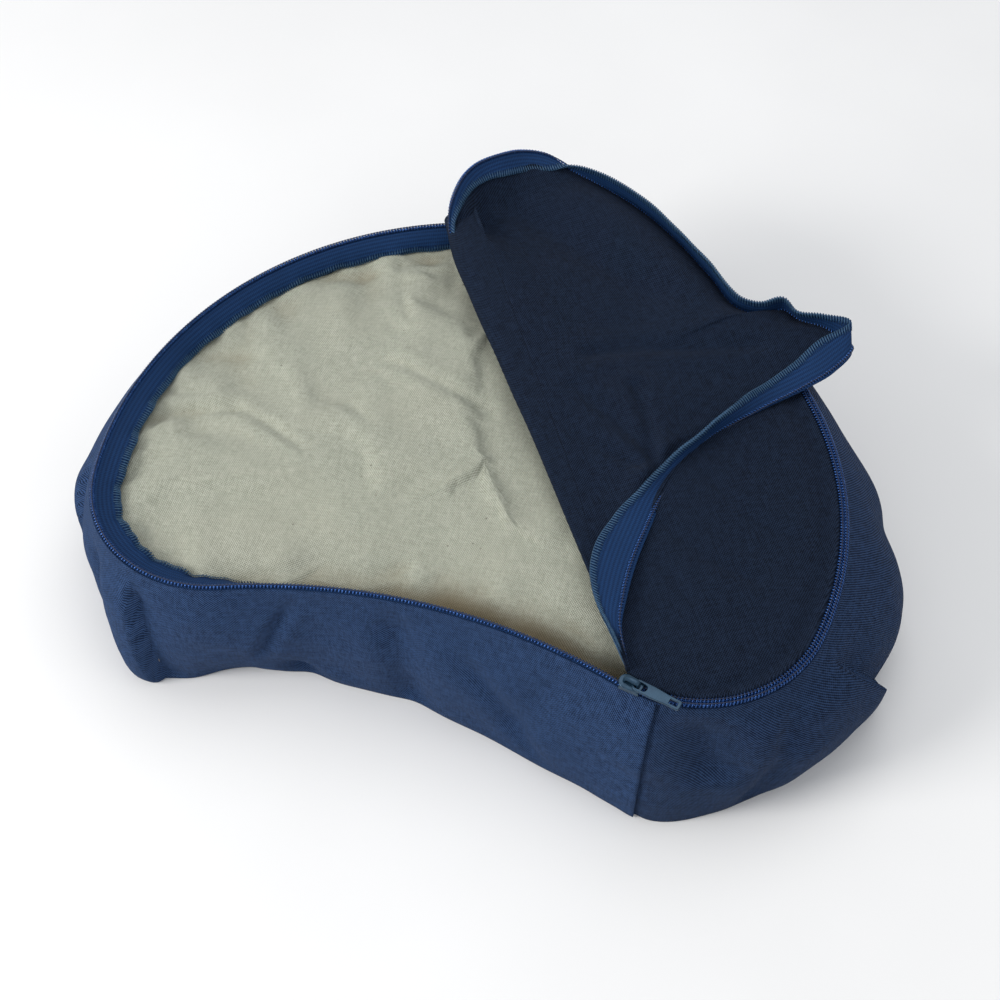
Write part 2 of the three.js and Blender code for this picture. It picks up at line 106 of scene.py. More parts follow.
# ---- Sizes: inner cushion ----
CASE_INSET = 0.0052  # from the zip line in to the shoulder of the case
FILLING_INSET = 0.010  # from the case to the filling
CASE_SLACK = 0.035  # spare cloth in the case's top, as a share of its length
CASE_SETTLES = 0.0035  # most that a point of the case moves as it settles

# Side wall all round, at a share of the zip's length from the slider: how far it stands outside the
# zip line on the floor and at half its height.
WALL = [
    (0.000, 0.022, 0.019), (0.020, 0.024, 0.020), (0.040, 0.018, 0.019), (0.065, 0.016, 0.024),
    (0.085, 0.021, 0.031), (0.105, 0.029, 0.038), (0.125, 0.037, 0.043), (0.150, 0.039, 0.045),
    (0.185, 0.034, 0.040), (0.250, 0.024, 0.033), (0.340, 0.013, 0.025), (0.450, 0.010, 0.021),
    (0.570, 0.010, 0.021), (0.650, 0.012, 0.026), (0.700, 0.016, 0.027), (0.720, 0.013, 0.018),
    (0.735, 0.009, 0.012), (0.752, 0.013, 0.017), (0.770, 0.020, 0.020), (0.784, 0.010, 0.016),
    (0.798, -0.002, 0.012), (0.832, -0.002, 0.009), (0.860, 0.005, 0.009), (0.890, 0.010, 0.012),
    (0.930, 0.018, 0.016), (0.965, 0.023, 0.019),
]

# Creases of the side wall: zip length at the rim and at the floor, shares of the height between
# which it runs, width and depth. A pleat drops sharply on one side.
CREASES = [
    (0.118, 0.172, 0.00, 0.94, 0.018, 0.0085, "pleat"),
    (0.092, 0.070, 0.05, 0.95, 0.010, 0.0042, "groove"),
    (0.038, 0.060, 0.45, 0.98, 0.022, 0.0085, "groove"),
    (0.230, 0.250, 0.10, 0.90, 0.022, 0.0030, "groove"),
    (0.320, 0.295, 0.00, 0.80, 0.026, 0.0040, "groove"),
    (0.420, 0.400, 0.05, 0.90, 0.020, 0.0040, "groove"),
    (0.640, 0.655, 0.05, 0.85, 0.020, 0.0040, "groove"),
    (0.800, 0.770, 0.05, 0.90, 0.022, 0.0045, "groove"),
    (0.930, 0.950, 0.10, 0.97, 0.012, 0.0080, "pleat"),
    (0.985, 0.998, 0.05, 0.92, 0.010, 0.0075, "groove"),
    (1.020, 1.030, 0.00, 0.95, 0.010, 0.0090, "pleat"),
    (1.120, 1.075, 0.35, 0.95, 0.007, 0.0034, "groove"),
    (1.080, 1.120, 0.02, 0.30, 0.014, 0.0070, "groove"),
    (1.180, 1.190, 0.02, 0.96, 0.018, 0.0062, "groove"),
    (1.205, 1.285, 0.10, 0.80, 0.014, 0.0034, "groove"),
    (1.290, 1.255, 0.25, 0.92, 0.020, 0.0030, "groove"),
]

# Creases seen from above, from the middle between the lobes: line, width, depth.
CASE_CREASES = [
    ([(-0.222, 0.036), (-0.194, 0.056), (-0.166, 0.064)], 0.0060, 0.0030),
    ([(-0.166, 0.064), (-0.139, 0.056), (-0.113, 0.040)], 0.0050, 0.0013),
    ([(-0.213, 0.066), (-0.190, 0.071)], 0.0050, 0.0012),
    ([(-0.219, 0.090), (-0.195, 0.103), (-0.166, 0.110)], 0.0060, 0.0011),
    ([(-0.085, 0.229), (-0.128, 0.196), (-0.165, 0.190)], 0.0060, 0.0020),
    ([(-0.103, 0.218), (-0.089, 0.180), (-0.080, 0.165)], 0.0045, 0.0011),
    ([(-0.067, 0.226), (-0.058, 0.200)], 0.0050, 0.0010),
    ([(-0.082, 0.124), (-0.049, 0.113), (-0.005, 0.101)], 0.0060, 0.0017),
    ([(-0.095, 0.085), (-0.075, 0.068)], 0.0050, 0.0006),
    ([(-0.120, -0.030), (-0.070, -0.022), (-0.020, -0.024)], 0.0080, 0.0007),
]
FLAP_CREASES = [
    ([(0.046, 0.150), (0.078, 0.166), (0.110, 0.172), (0.150, 0.186)], 0.0080, 0.0013),
    ([(0.045, 0.122), (0.075, 0.102), (0.104, 0.080)], 0.0070, 0.0019),
    ([(0.028, 0.100), (0.062, 0.082), (0.098, 0.071)], 0.0065, 0.0015),
    ([(0.082, 0.132), (0.098, 0.100), (0.107, 0.074)], 0.0060, 0.0017),
    ([(0.060, 0.052), (0.078, 0.048)], 0.0060, 0.0009),
    ([(-0.030, 0.270), (0.030, 0.235), (0.110, 0.205)], 0.0160, 0.0016),
]
PANEL_CREASES = [
    ([(0.122, 0.036), (0.150, 0.018), (0.182, 0.010)], 0.0070, 0.0011),
    ([(0.124, 0.010), (0.146, -0.012)], 0.0060, 0.0010),
    ([(0.140, 0.075), (0.175, 0.052), (0.200, 0.046)], 0.0080, 0.0008),
]

# Rim of the folded-back flap from the back end of the fold to the slider: the coil and the edge of
# the overlocked band beside it, from the middle between the lobes and from the rim's height, then
# how far in from the coil, and how high above it, the cloth has its shoulder.
FLAP_RIM = [
    ((-0.0690, 0.2480, 0.002), (-0.067, 0.245, 0.004), (0.003, 0.001)),
    ((-0.0665, 0.2270, 0.008), (-0.064, 0.225, 0.010), (0.004, 0.001)),
    ((-0.0725, 0.2380, 0.021), (-0.068, 0.235, 0.018), (0.006, -0.004)),
    ((-0.0720, 0.2540, 0.031), (-0.066, 0.253, 0.025), (0.010, -0.008)),
    ((-0.0650, 0.2790, 0.033), (-0.058, 0.274, 0.024), (0.014, -0.012)),
    ((-0.0520, 0.2940, 0.032), (-0.048, 0.285, 0.022), (0.015, -0.012)),
    ((-0.0400, 0.3050, 0.029), (-0.033, 0.299, 0.019), (0.015, -0.011)),
    ((-0.0240, 0.3110, 0.025), (-0.018, 0.304, 0.018), (0.015, -0.008)),
    ((-0.0060, 0.3110, 0.017), (-0.003, 0.308, 0.021), (0.015, -0.001)),
    ((0.0180, 0.3080, 0.010), (0.019, 0.305, 0.022), (0.014, 0.007)),
    ((0.0490, 0.2940, 0.008), (0.049, 0.291, 0.021), (0.014, 0.009)),
    ((0.0820, 0.2690, 0.008), (0.081, 0.266, 0.021), (0.014, 0.009)),
    ((0.1080, 0.2440, 0.008), (0.107, 0.241, 0.021), (0.014, 0.009)),
    ((0.1360, 0.2180, 0.008), (0.135, 0.216, 0.020), (0.014, 0.009)),
    ((0.1490, 0.2170, 0.009), (0.147, 0.215, 0.020), (0.016, 0.008)),
    ((0.1620, 0.2240, 0.010), (0.160, 0.222, 0.021), (0.018, 0.006)),
    ((0.1730, 0.2180, 0.010), (0.170, 0.214, 0.019), (0.017, 0.005)),
    ((0.1900, 0.2140, 0.012), (0.187, 0.214, 0.022), (0.015, 0.003)),
    ((0.2090, 0.2000, 0.013), (0.205, 0.211, 0.023), (0.015, 0.001)),
    ((0.2000, 0.1810, 0.011), (0.188, 0.194, 0.018), (0.016, 0.000)),
    ((0.1850, 0.1630, 0.009), (0.174, 0.173, 0.013), (0.016, 0.000)),
    ((0.1600, 0.1370, 0.008), (0.152, 0.139, 0.016), (0.016, 0.000)),
    ((0.1350, 0.1080, 0.007), (0.131, 0.102, 0.018), (0.015, 0.000)),
    ((0.1240, 0.0850, 0.007), (0.117, 0.080, 0.016), (0.015, 0.000)),
    ((0.1160, 0.0600, 0.007), (0.105, 0.057, 0.013), (0.015, 0.000)),
    ((0.1110, 0.0280, 0.008), (0.092, 0.029, 0.011), (0.015, 0.000)),
    ((0.1080, 0.0000, 0.008), (0.086, 0.002, 0.011), (0.012, 0.000)),
    ((0.1085, -0.0220, 0.008), (0.089, -0.018, 0.010), (0.008, 0.000)),
    ((0.1110, -0.0410, 0.007), (0.098, -0.035, 0.008), (0.004, 0.000)),
    ((0.1160, -0.0530, 0.005), (0.108, -0.048, 0.006), (0.002, 0.000)),
    ((0.1225, -0.0665, 0.002), (0.121, -0.065, 0.003), (0.001, 0.000)),
]

# Roll of the fold, at a distance along it from its back end: half its height, and how far it
# bulges over the inner cushion.
ROLL = [
    (0.000, 0.0080, 0.012), (0.040, 0.0090, 0.015), (0.075, 0.0080, 0.0135),
    (0.135, 0.0062, 0.0095), (0.209, 0.0044, 0.005), (0.265, 0.0028, 0.0028),
    (0.303, 0.0016, 0.0012), (0.340, 0.0008, 0.0002), (0.372, 0.0006, 0.0001),
]
FOLD_CROWD = 0.55  # how evenly the flap's rows leave the fold, against square to it
JOIN_AT = 0.010  # from the fold to where the roll meets the panels

# ---- Frame: the zip line as four tangent arcs ----
joints = {joint["name"]: joint for joint in frame["joints"]}
LOBE_X = ZIP_WIDTH / 2 - LOBE_RADIUS
right_lobe = Vector(joints["slider_travel"]["pos_m"])
middle = np.array([right_lobe.x - LOBE_X, right_lobe.y])  # between the lobes' centres
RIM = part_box("zip_coil_side_open")[0].z
FLOOR = cad_low.z
PANEL_Z = RIM + 0.0018  # top face of the closed panel beside the fold
CENTRE = middle + np.array([0, (ZIP_DEPTH - 2 * LOBE_RADIUS) / 3])


def tangent_arcs():
    """The crescent's outline from the slider, counter-clockwise: centre, radius, angles, side."""
    rise = ZIP_DEPTH - 2 * LOBE_RADIUS
    back_y = (rise**2 - LOBE_X**2) / (2 * rise)
    back_radius = ZIP_DEPTH - LOBE_RADIUS - back_y
    notch_y = NOTCH_DEPTH - LOBE_RADIUS
    front_radius = (LOBE_X**2 + notch_y**2 - LOBE_RADIUS**2) / (2 * NOTCH_DEPTH)
    front_y = notch_y - front_radius
    back_turn = math.atan2(-back_y, LOBE_X)
    front_turn = math.atan2(front_y, -LOBE_X)
    low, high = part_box("zip_slider")
    start = math.atan2((low.y + high.y) / 2 - right_lobe.y, (low.x + high.x) / 2 - right_lobe.x)
    lobe = LOBE_RADIUS
    return [
        (LOBE_X, 0, lobe, start, back_turn, 1),
        (0, back_y, back_radius, back_turn, math.pi - back_turn, 1),
        (-LOBE_X, 0, lobe, math.pi - back_turn, math.pi - front_turn, 1),
        (0, front_y, front_radius, -front_turn, math.pi + front_turn, -1),
        (LOBE_X, 0, lobe, front_turn, start, 1),
    ]


ARCS = tangent_arcs()
ARC_LENGTHS = [abs(to - start) * radius for _, _, radius, start, to, _ in ARCS]
ZIP_LENGTH = sum(ARC_LENGTHS)


def zip_plan(length, offset):
    """Points in plan at zip lengths from the slider, moved outwards by offset."""
    length, offset = np.broadcast_arrays(np.mod(length, ZIP_LENGTH), offset)
    plan = np.zeros(length.shape + (2,))
    begin = 0.0
    for (x, y, radius, start, to, side), run in zip(ARCS, ARC_LENGTHS):
        here = (length >= begin) & (length <= begin + run)
        angle = start + (to - start) * (length[here] - begin) / run
        reach = radius + offset[here] * side
        plan[here, 0] = x + reach * np.cos(angle) + middle[0]
        plan[here, 1] = y + reach * np.sin(angle) + middle[1]
        begin += run
    return plan


def zip_points(length, offset, z):
    plan = zip_plan(length, offset)
    return np.dstack([plan[..., 0], plan[..., 1], np.broadcast_to(z, plan.shape[:-1])])


# ---- Frame: the fold ----
fold_joint = joints["flap_fold"]
fold_along = np.array(fold_joint["axis"][:2])
fold_across = np.array([-fold_along[1], fold_along[0]])  # towards the right lobe
fold_point = np.array(fold_joint["pos_m"][:2])


def across_fold(plan):
    return (plan - fold_point) @ fold_across


def along_fold(plan):
    return (plan - fold_back) @ fold_along


def at_fold(along, across, z):
    """Points at distances along the fold and across it."""
    plan = fold_back + np.multiply.outer(along, fold_along) + np.multiply.outer(across, fold_across)
    return np.concatenate([plan, np.asarray(z)[..., None]], axis=-1)


def crossing(from_length, to_length):
    """Zip length between the two at which the zip line meets the fold."""
    for _ in range(40):
        half = (from_length + to_length) / 2
        if across_fold(zip_plan(half, 0.0)) > 0:
            from_length = half
        else:
            to_length = half
    return (from_length + to_length) / 2


BACK_MIDDLE = ARC_LENGTHS[0] + ARC_LENGTHS[1] / 2
FOLD_LENGTH_AT = crossing(BACK_MIDDLE - 0.1, BACK_MIDDLE + 0.2)  # zip length where the fold starts
fold_back = zip_plan(FOLD_LENGTH_AT, 0.0)
PANEL_OFFSET = -(COIL_OUTER + HEM)
FOLD_SPAN = float(along_fold(zip_plan(ZIP_LENGTH - 0.0065, PANEL_OFFSET)))


# ---- Curves and grids ----
def smooth(knots, values, at):
    """Values at places between knots, on a smooth curve through them."""
    knots, values, at = np.asarray(knots), np.asarray(values, float), np.asarray(at)
    slopes = np.gradient(values, knots, axis=0)
    i = np.clip(np.searchsorted(knots, at) - 1, 0, len(knots) - 2)
    step = knots[i + 1] - knots[i]
    t = (at - knots[i]) / step
    if values.ndim > 1:
        shape = t.shape + (1,) * (values.ndim - 1)
        t, step = t.reshape(shape), step.reshape(shape)
    a, b = values[i], values[i + 1]
    return (
        (2 * t**3 - 3 * t**2 + 1) * a + (t**3 - 2 * t**2 + t) * step * slopes[i]
        + (3 * t**2 - 2 * t**3) * b + (t**3 - t**2) * step * slopes[i + 1]
    )


def smoothstep(x, low, high):
    t = np.clip((x - low) / (high - low), 0, 1)
    return t * t * (3 - 2 * t)


def hump(off, width):
    return np.exp(-((off / width) ** 2))


def unit(vectors):
    return vectors / np.linalg.norm(vectors, axis=-1, keepdims=True)


def lengths_of(line):
    return np.concatenate([[0], np.cumsum(np.linalg.norm(np.diff(line, axis=0), axis=1))])


def between(at, run, values):
    return np.column_stack([np.interp(at, run, values[:, k]) for k in range(values.shape[1])])


def even(line, count):
    """The line again with its points evenly spaced."""
    run = lengths_of(line)
    return between(np.linspace(0, run[-1], count), run, line)


def ripple(u, v, seed, size, waves=6):
    """Soft unevenness between about -1 and 1, from crossed waves about as long as size."""
    random = np.random.default_rng(seed)
    total = np.zeros(np.broadcast(u, v).shape)
    for _ in range(waves):
        turn, phase = random.uniform(0, math.pi), random.uniform(0, 2 * math.pi)
        rate = 2 * math.pi / (size * random.uniform(0.6, 1.6))
        total += np.sin(rate * (u * math.cos(turn) + v * math.sin(turn)) + phase)
    return total / math.sqrt(waves) / 1.4


def plan_creases(plan, lines):
    """Grooves with soft lips along lines seen from above."""
    total = np.zeros(plan.shape[:-1])
    for points, width, depth in lines:
        points = np.array(points) + middle
        off = np.full(total.shape, np.inf)
        for start, end in zip(points[:-1], points[1:]):
            run = end - start
            share = np.clip((plan - start) @ run / (run @ run), 0, 1)
            off = np.minimum(off, np.linalg.norm(plan - start - share[..., None] * run, axis=-1))
        total += depth * (0.45 * hump(off - 1.5 * width, width) - hump(off, 0.7 * width))
    return total


def mesh_object(name, points, faces, finish, uv=None):
    mesh = bpy.data.meshes.new(name)
    mesh.from_pydata(np.asarray(points, float).tolist(), [], faces)
    mesh.polygons.foreach_set("use_smooth", np.ones(len(mesh.polygons), bool))
    if uv is not None:
        corners = np.zeros(len(mesh.loops), np.int32)
        mesh.loops.foreach_get("vertex_index", corners)
        layer = mesh.uv_layers.new(name="cloth")
        layer.data.foreach_set("uv", np.asarray(uv, np.float32)[corners].ravel())
    mesh.materials.append(finish)
    piece = bpy.data.objects.new(name, mesh)
    bpy.context.scene.collection.objects.link(piece)
    return piece


def grid_faces(rows, columns, close_rows=False, close_columns=False):
    last_row = rows if close_rows else rows - 1
    last_column = columns if close_columns else columns - 1
    i, j = np.meshgrid(np.arange(last_row), np.arange(last_column), indexing="ij")
    down, right = (i + 1) % rows, (j + 1) % columns
    corners = [i * columns + j, down * columns + j, down * columns + right, i * columns + right]
    return np.stack([c.ravel() for c in corners], axis=1).tolist()


def cloth_uv(grid):
    """Cloth coordinates in metres: the run along the rows and across them."""
    across = np.linalg.norm(np.diff(grid, axis=1), axis=2)
    v = np.concatenate([np.zeros((len(grid), 1)), np.cumsum(across, axis=1)], axis=1)
    along = np.linalg.norm(np.diff(grid, axis=0), axis=2).mean(axis=1)
    u = np.concatenate([[0], np.cumsum(along)])[:, None] + np.zeros_like(v)
    return np.dstack([u, v]).reshape(-1, 2)


def thicken(piece, thickness):
    solidify = piece.modifiers.new("thickness", "SOLIDIFY")
    solidify.thickness = thickness
    solidify.offset = -1
    return piece


def cloth(name, grid, finish, thickness, uv=None):
    """A cloth from a grid of points. Its thickness grows away from the side that the grid faces."""
    rows, columns = grid.shape[:2]
    uv = cloth_uv(grid) if uv is None else uv.reshape(-1, 2)
    piece = mesh_object(name, grid.reshape(-1, 3), grid_faces(rows, columns), finish, uv)
    return thicken(piece, thickness)


def plan_uv(grid):
    """Cloth coordinates of a panel cut flat: its plan, turned square to the fold."""
    plan = grid[..., :2]
    return np.dstack([along_fold(plan), across_fold(plan)])


def tube(name, line, radius, finish, sides=5):
    """A thread or wire along a line of points."""
    ahead = np.roll(line, -1, axis=0) - np.roll(line, 1, axis=0)
    ahead[0] = line[1] - line[0]
    ahead[-1] = line[-1] - line[-2]
    ahead = unit(ahead)
    side = unit(np.cross(ahead, [0.31, 0.17, 0.93]))
    up = np.cross(side, ahead)
    turn = np.linspace(0, 2 * math.pi, sides, endpoint=False)
    ring = np.cos(turn)[None, :, None] * side[:, None] + np.sin(turn)[None, :, None] * up[:, None]
    points = (line[:, None] + radius * ring).reshape(-1, 3)
    faces = grid_faces(len(line), sides, close_columns=True)
    last = (len(line) - 1) * sides
    faces.append(list(range(sides)))
    faces.append([last + k for k in reversed(range(sides))])
    run = np.repeat(lengths_of(line), sides)
    uv = np.column_stack([run, np.tile(turn * radius, len(line))])
    return mesh_object(name, points, faces, finish, uv)


# ---- Materials ----
def feed(tree, made, values):
    """Links or sets a node's inputs, by name or number."""
    for name, value in values.items():
        if isinstance(value, bpy.types.NodeSocket):
            tree.links.new(value, made.inputs[name])
        else:
            made.inputs[name].default_value = value
    return made


def node(tree, kind, **inputs):
    return feed(tree, tree.nodes.new(kind), inputs)


def sums(tree, operation, *values):
    made = feed(tree, tree.nodes.new("ShaderNodeMath"), dict(enumerate(values)))
    made.operation = operation
    return made.outputs[0]


def times(tree, first, second):
    return sums(tree, "MULTIPLY", first, second)


def times_plus(tree, first, second, more):
    return sums(tree, "MULTIPLY_ADD", first, second, more)


def sine(tree, value, rate):
    return sums(tree, "SINE", times(tree, value, rate))


def blend_colours(tree, share, first, second):
    mix = tree.nodes.new("ShaderNodeMix")
    mix.data_type = "RGBA"
    return feed(tree, mix, {0: share, 6: first, 7: second}).outputs[2]


def ramp(tree, value, low, high):
    """0 below low, 1 above high, smooth between."""
    made = tree.nodes.new("ShaderNodeMapRange")
    made.interpolation_type = "SMOOTHSTEP"
    return feed(tree, made, {"Value": value, "From Min": low, "From Max": high}).outputs[0]


def noise(tree, vector, scale, detail=3.0):
    return node(tree, "ShaderNodeTexNoise", Vector=vector, Scale=scale, Detail=detail).outputs["Fac"]


def scaled(tree, vector, x, y):
    return node(tree, "ShaderNodeMapping", Vector=vector, Scale=(x, y, 1.0)).outputs[0]


def new_material(name):
    material = bpy.data.materials.new(name)
    material.use_nodes = True
    tree = material.node_tree
    tree.nodes.clear()
    shader = tree.nodes.new("ShaderNodeBsdfPrincipled")
    output = tree.nodes.new("ShaderNodeOutputMaterial")
    tree.links.new(shader.outputs[0], output.inputs[0])
    return material, tree, shader


def finish_bump(tree, shader, height, strength, distance):
    bump = node(tree, "ShaderNodeBump", Height=height, Strength=strength, Distance=distance)
    tree.links.new(bump.outputs[0], shader.inputs["Normal"])


def twill(name, dark, light, weave, faded, sheen, twill_share=0.55, coordinates="UV"):
    """Woven cotton: twill lines over a plain grid, uneven yarns, faded patches and a soft sheen."""
    material, tree, shader = new_material(name)
    place = tree.nodes.new("ShaderNodeTexCoord")
    cloth_at = place.outputs[coordinates]
    split = node(tree, "ShaderNodeSeparateXYZ", Vector=scaled(tree, cloth_at, 1 / weave, 1 / weave))
    wander = noise(tree, scaled(tree, cloth_at, 90, 90), 1.0)
    u = times_plus(tree, wander, 0.5, split.outputs[0])
    v = times_plus(tree, wander, 0.35, split.outputs[1])
    turn = 2 * math.pi
    grid = times(tree, sine(tree, u, turn), sine(tree, v, turn))
    line = sine(tree, sums(tree, "ADD", u, v), turn)
    woven = sums(tree, "ADD", times(tree, line, twill_share), times(tree, grid, 1 - twill_share))
    slub = noise(tree, scaled(tree, cloth_at, 1.0 / weave, 0.22 / weave), 1.0, 3.0)
    slub_across = noise(tree, scaled(tree, cloth_at, 0.22 / weave, 1.0 / weave), 1.0, 3.0)
    yarns = sums(tree, "ADD", slub, slub_across)
    relief = times_plus(tree, yarns, 1.3, sums(tree, "SUBTRACT", woven, 0.5))
    patches = noise(tree, place.outputs["Object"], 14.0, 5.0)
    body = blend_colours(tree, ramp(tree, relief, 0.0, 1.6), dark, light)
    colour = blend_colours(tree, ramp(tree, patches, 0.38, 0.75), body, faded)
    mixed = blend_colours(tree, 0.35, body, colour)
    feed(tree, shader, {
        "Base Color": mixed,
        "Roughness": times_plus(tree, yarns, 0.12, 0.72),
        "Specular IOR Level": 0.08,
        "Sheen Weight": sheen,
        "Sheen Roughness": 0.4,
    })
    finish_bump(tree, shader, relief, 0.7, 0.0005)
    return material, tree, shader, mixed


def calico():
    """Unbleached cotton with dark flecks and slubs, and a browner tone low down at its edge that is painted
    shade.
    """
    material, tree, shader, body = twill(
        "case_calico", (0.27, 0.28, 0.22, 1), (0.56, 0.58, 0.49, 1), CASE_WEAVE,
        (0.44, 0.44, 0.36, 1), 0.02, 0.2, "Object",
    )
    place = tree.nodes.new("ShaderNodeTexCoord").outputs["Object"]
    fleck = node(tree, "ShaderNodeTexVoronoi", Vector=place, Scale=120).outputs["Distance"]
    thin = noise(tree, place, 60.0, 2.0)
    spot = times(tree, ramp(tree, fleck, 0.11, 0.05), ramp(tree, thin, 0.54, 0.62))
    specked = blend_colours(tree, times(tree, spot, 0.75), body, (0.10, 0.09, 0.07, 1))
    low = node(tree, "ShaderNodeSeparateXYZ", Vector=place).outputs[2]
    edge_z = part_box("inner_case_top")[0].z
    # Painted shade: the cloth turns brown below the height of the top's edge, where the case rolls away
    # under the rim.
    painted_shade_share = times(tree, ramp(tree, low, edge_z + 0.006, edge_z - 0.006), 0.85)
    shaded_colour = blend_colours(tree, painted_shade_share, specked, (0.22, 0.16, 0.08, 1))
    tree.links.new(shaded_colour, shader.inputs["Base Color"])
    return material


def tape_finish():
    """Royal blue tape: ribs across it, a few raised lines along it."""
    material, tree, shader = new_material("zip_tape")
    place = tree.nodes.new("ShaderNodeTexCoord")
    split = node(tree, "ShaderNodeSeparateXYZ", Vector=place.outputs["UV"])
    rib_rate, line_rate = 2 * math.pi / TAPE_WEAVE, 2 * math.pi / TAPE_LINES
    chevron = sine(tree, split.outputs[1], line_rate)
    lean = times_plus(tree, chevron, 0.8, times(tree, split.outputs[0], rib_rate))
    rib = sums(tree, "SINE", lean)
    yarn = noise(tree, scaled(tree, place.outputs["UV"], 1800, 500), 1.0, 2.0)
    relief = times_plus(tree, rib, 0.35, times_plus(tree, chevron, 0.25, yarn))
    wear = noise(tree, place.outputs["Object"], 40.0, 3.0)
    dark, light, worn = (0.003, 0.013, 0.050, 1), (0.013, 0.055, 0.170, 1), (0.008, 0.026, 0.070, 1)
    colour = blend_colours(tree, ramp(tree, relief, -0.2, 1.2), dark, light)
    feed(tree, shader, {
        "Base Color": blend_colours(tree, times(tree, wear, 0.5), colour, worn),
        "Roughness": times_plus(tree, yarn, 0.2, 0.6),
        "Specular IOR Level": 0.12,
    })
    finish_bump(tree, shader, relief, 0.4, 0.0003)
    return material


def smooth_finish(name, dark, light, rough, metallic, scale, coat):
    """A moulded or painted surface, a little uneven in colour and gloss."""
    material, tree, shader = new_material(name)
    place = tree.nodes.new("ShaderNodeTexCoord").outputs["Object"]
    broad, fine = noise(tree, place, scale, 4.0), noise(tree, place, scale * 14, 2.0)
    both = times_plus(tree, fine, 0.5, times(tree, broad, 0.5))
    feed(tree, shader, {
        "Base Color": blend_colours(tree, ramp(tree, both, 0.3, 0.7), dark, light),
        "Roughness": times_plus(tree, both, 0.2, rough - 0.1),
        "Metallic": metallic,
        "Coat Weight": coat,
        "Coat Roughness": 0.25,
    })
    finish_bump(tree, shader, fine, 0.06, 0.0002)
    return material


navy_wall = twill("cover_twill", (0.004, 0.011, 0.032, 1), (0.040, 0.084, 0.200, 1), WEAVE,
                  (0.024, 0.050, 0.118, 1), 0.015)[0]
# Darker copy of the same twill for the right side wall: painted shade on that side of the cushion, which
# shows as a step in tone at the back seam.
navy_right_painted_shade = twill("cover_twill_right_painted_shade", (0.003, 0.008, 0.023, 1), (0.029, 0.059, 0.138, 1), WEAVE,
                   (0.017, 0.035, 0.080, 1), 0.015)[0]
# Darker copy of the same twill for the top panel, the fold's roll and the flap: painted shade on the cloth
# that faces up.
navy_top_painted_shade = twill("cover_twill_top_painted_shade", (0.0020, 0.0042, 0.0105, 1), (0.0150, 0.0270, 0.0570, 1), WEAVE,
                 (0.0100, 0.0180, 0.0380, 1), 0.02, 0.35)[0]
beige = calico()
tape_blue = tape_finish()
coil_blue = smooth_finish(
    "zip_coil", (0.010, 0.038, 0.150, 1), (0.040, 0.130, 0.400, 1), 0.26, 0.6, 300, 0.0,
)
enamel = smooth_finish(
    "zip_enamel", (0.010, 0.034, 0.066, 1), (0.022, 0.062, 0.108, 1), 0.30, 0.55, 220, 0.1,
)
seam_blue = smooth_finish(
    "coil_seam", (0.002, 0.007, 0.030, 1), (0.006, 0.018, 0.060, 1), 0.6, 0.0, 500, 0.0,
)
thread_blue = smooth_finish(
    "overlock_thread", (0.018, 0.060, 0.125, 1), (0.050, 0.135, 0.250, 1), 0.6, 0.0, 500, 0.0,
)
husk = smooth_finish("hulls", (0.035, 0.022, 0.014, 1), (0.09, 0.06, 0.035, 1), 0.7, 0.0, 260, 0.0)


# ---- Cover: side wall and bottom ----
def hem_reach(length):
    """Offset of the side wall's turned edge: close to the chain, and to the coil where it's open."""
    length = np.mod(length, ZIP_LENGTH)
    closed = 1 - smoothstep(length, FOLD_LENGTH_AT - 0.02, FOLD_LENGTH_AT)
    return COIL_OUTER + HEM - 0.0008 * closed


def wall_reach(length, height):
    """How far the side wall's outer face stands outside the zip line."""
    share = np.mod(length, ZIP_LENGTH) / ZIP_LENGTH
    knots = np.array([row[0] for row in WALL])
    values = np.array([row[1:] for row in WALL])
    knots = np.concatenate([knots - 1, knots, knots + 1])
    base, half = np.moveaxis(smooth(knots, np.tile(values, (3, 1)), share), -1, 0)
    top = hem_reach(length)
    swell = half - (base + top) / 2
    reach = base * (1 - height) + top * height + swell * 4 * height * (1 - height)
    return reach + creases(length, height)


def creases(length, height):
    total = np.zeros(np.broadcast(length, height).shape)
    for top_at, floor_at, low, high, width, depth, kind in CREASES:
        at = floor_at + (top_at - floor_at) * height
        off = np.mod(length - at + ZIP_LENGTH / 2, ZIP_LENGTH) - ZIP_LENGTH / 2
        shown = smoothstep(height, low - 0.08, low + 0.10)
        shown = shown * (1 - smoothstep(height, high - 0.22, high + 0.02))
        if kind == "pleat":
            beyond = smoothstep(off, -0.0012, 0.0012)
            lip = hump(off + width * 0.5, width) * (1 - beyond)
            under = hump(off, 1.4 * width) * beyond
            total += depth * shown * (0.45 * lip - 0.8 * under)
        else:
            swell = hump(off - 1.5 * width, width) + hump(off + 1.5 * width, width)
            total += depth * shown * (0.35 * swell - hump(off, 0.7 * width))
    soft = ripple(length, height * 0.10, 3, 0.085) * 0.0016 + ripple(length, height * 0.10, 5, 0.03) * 0.0004
    return total + soft * 4 * height * (1 - height)


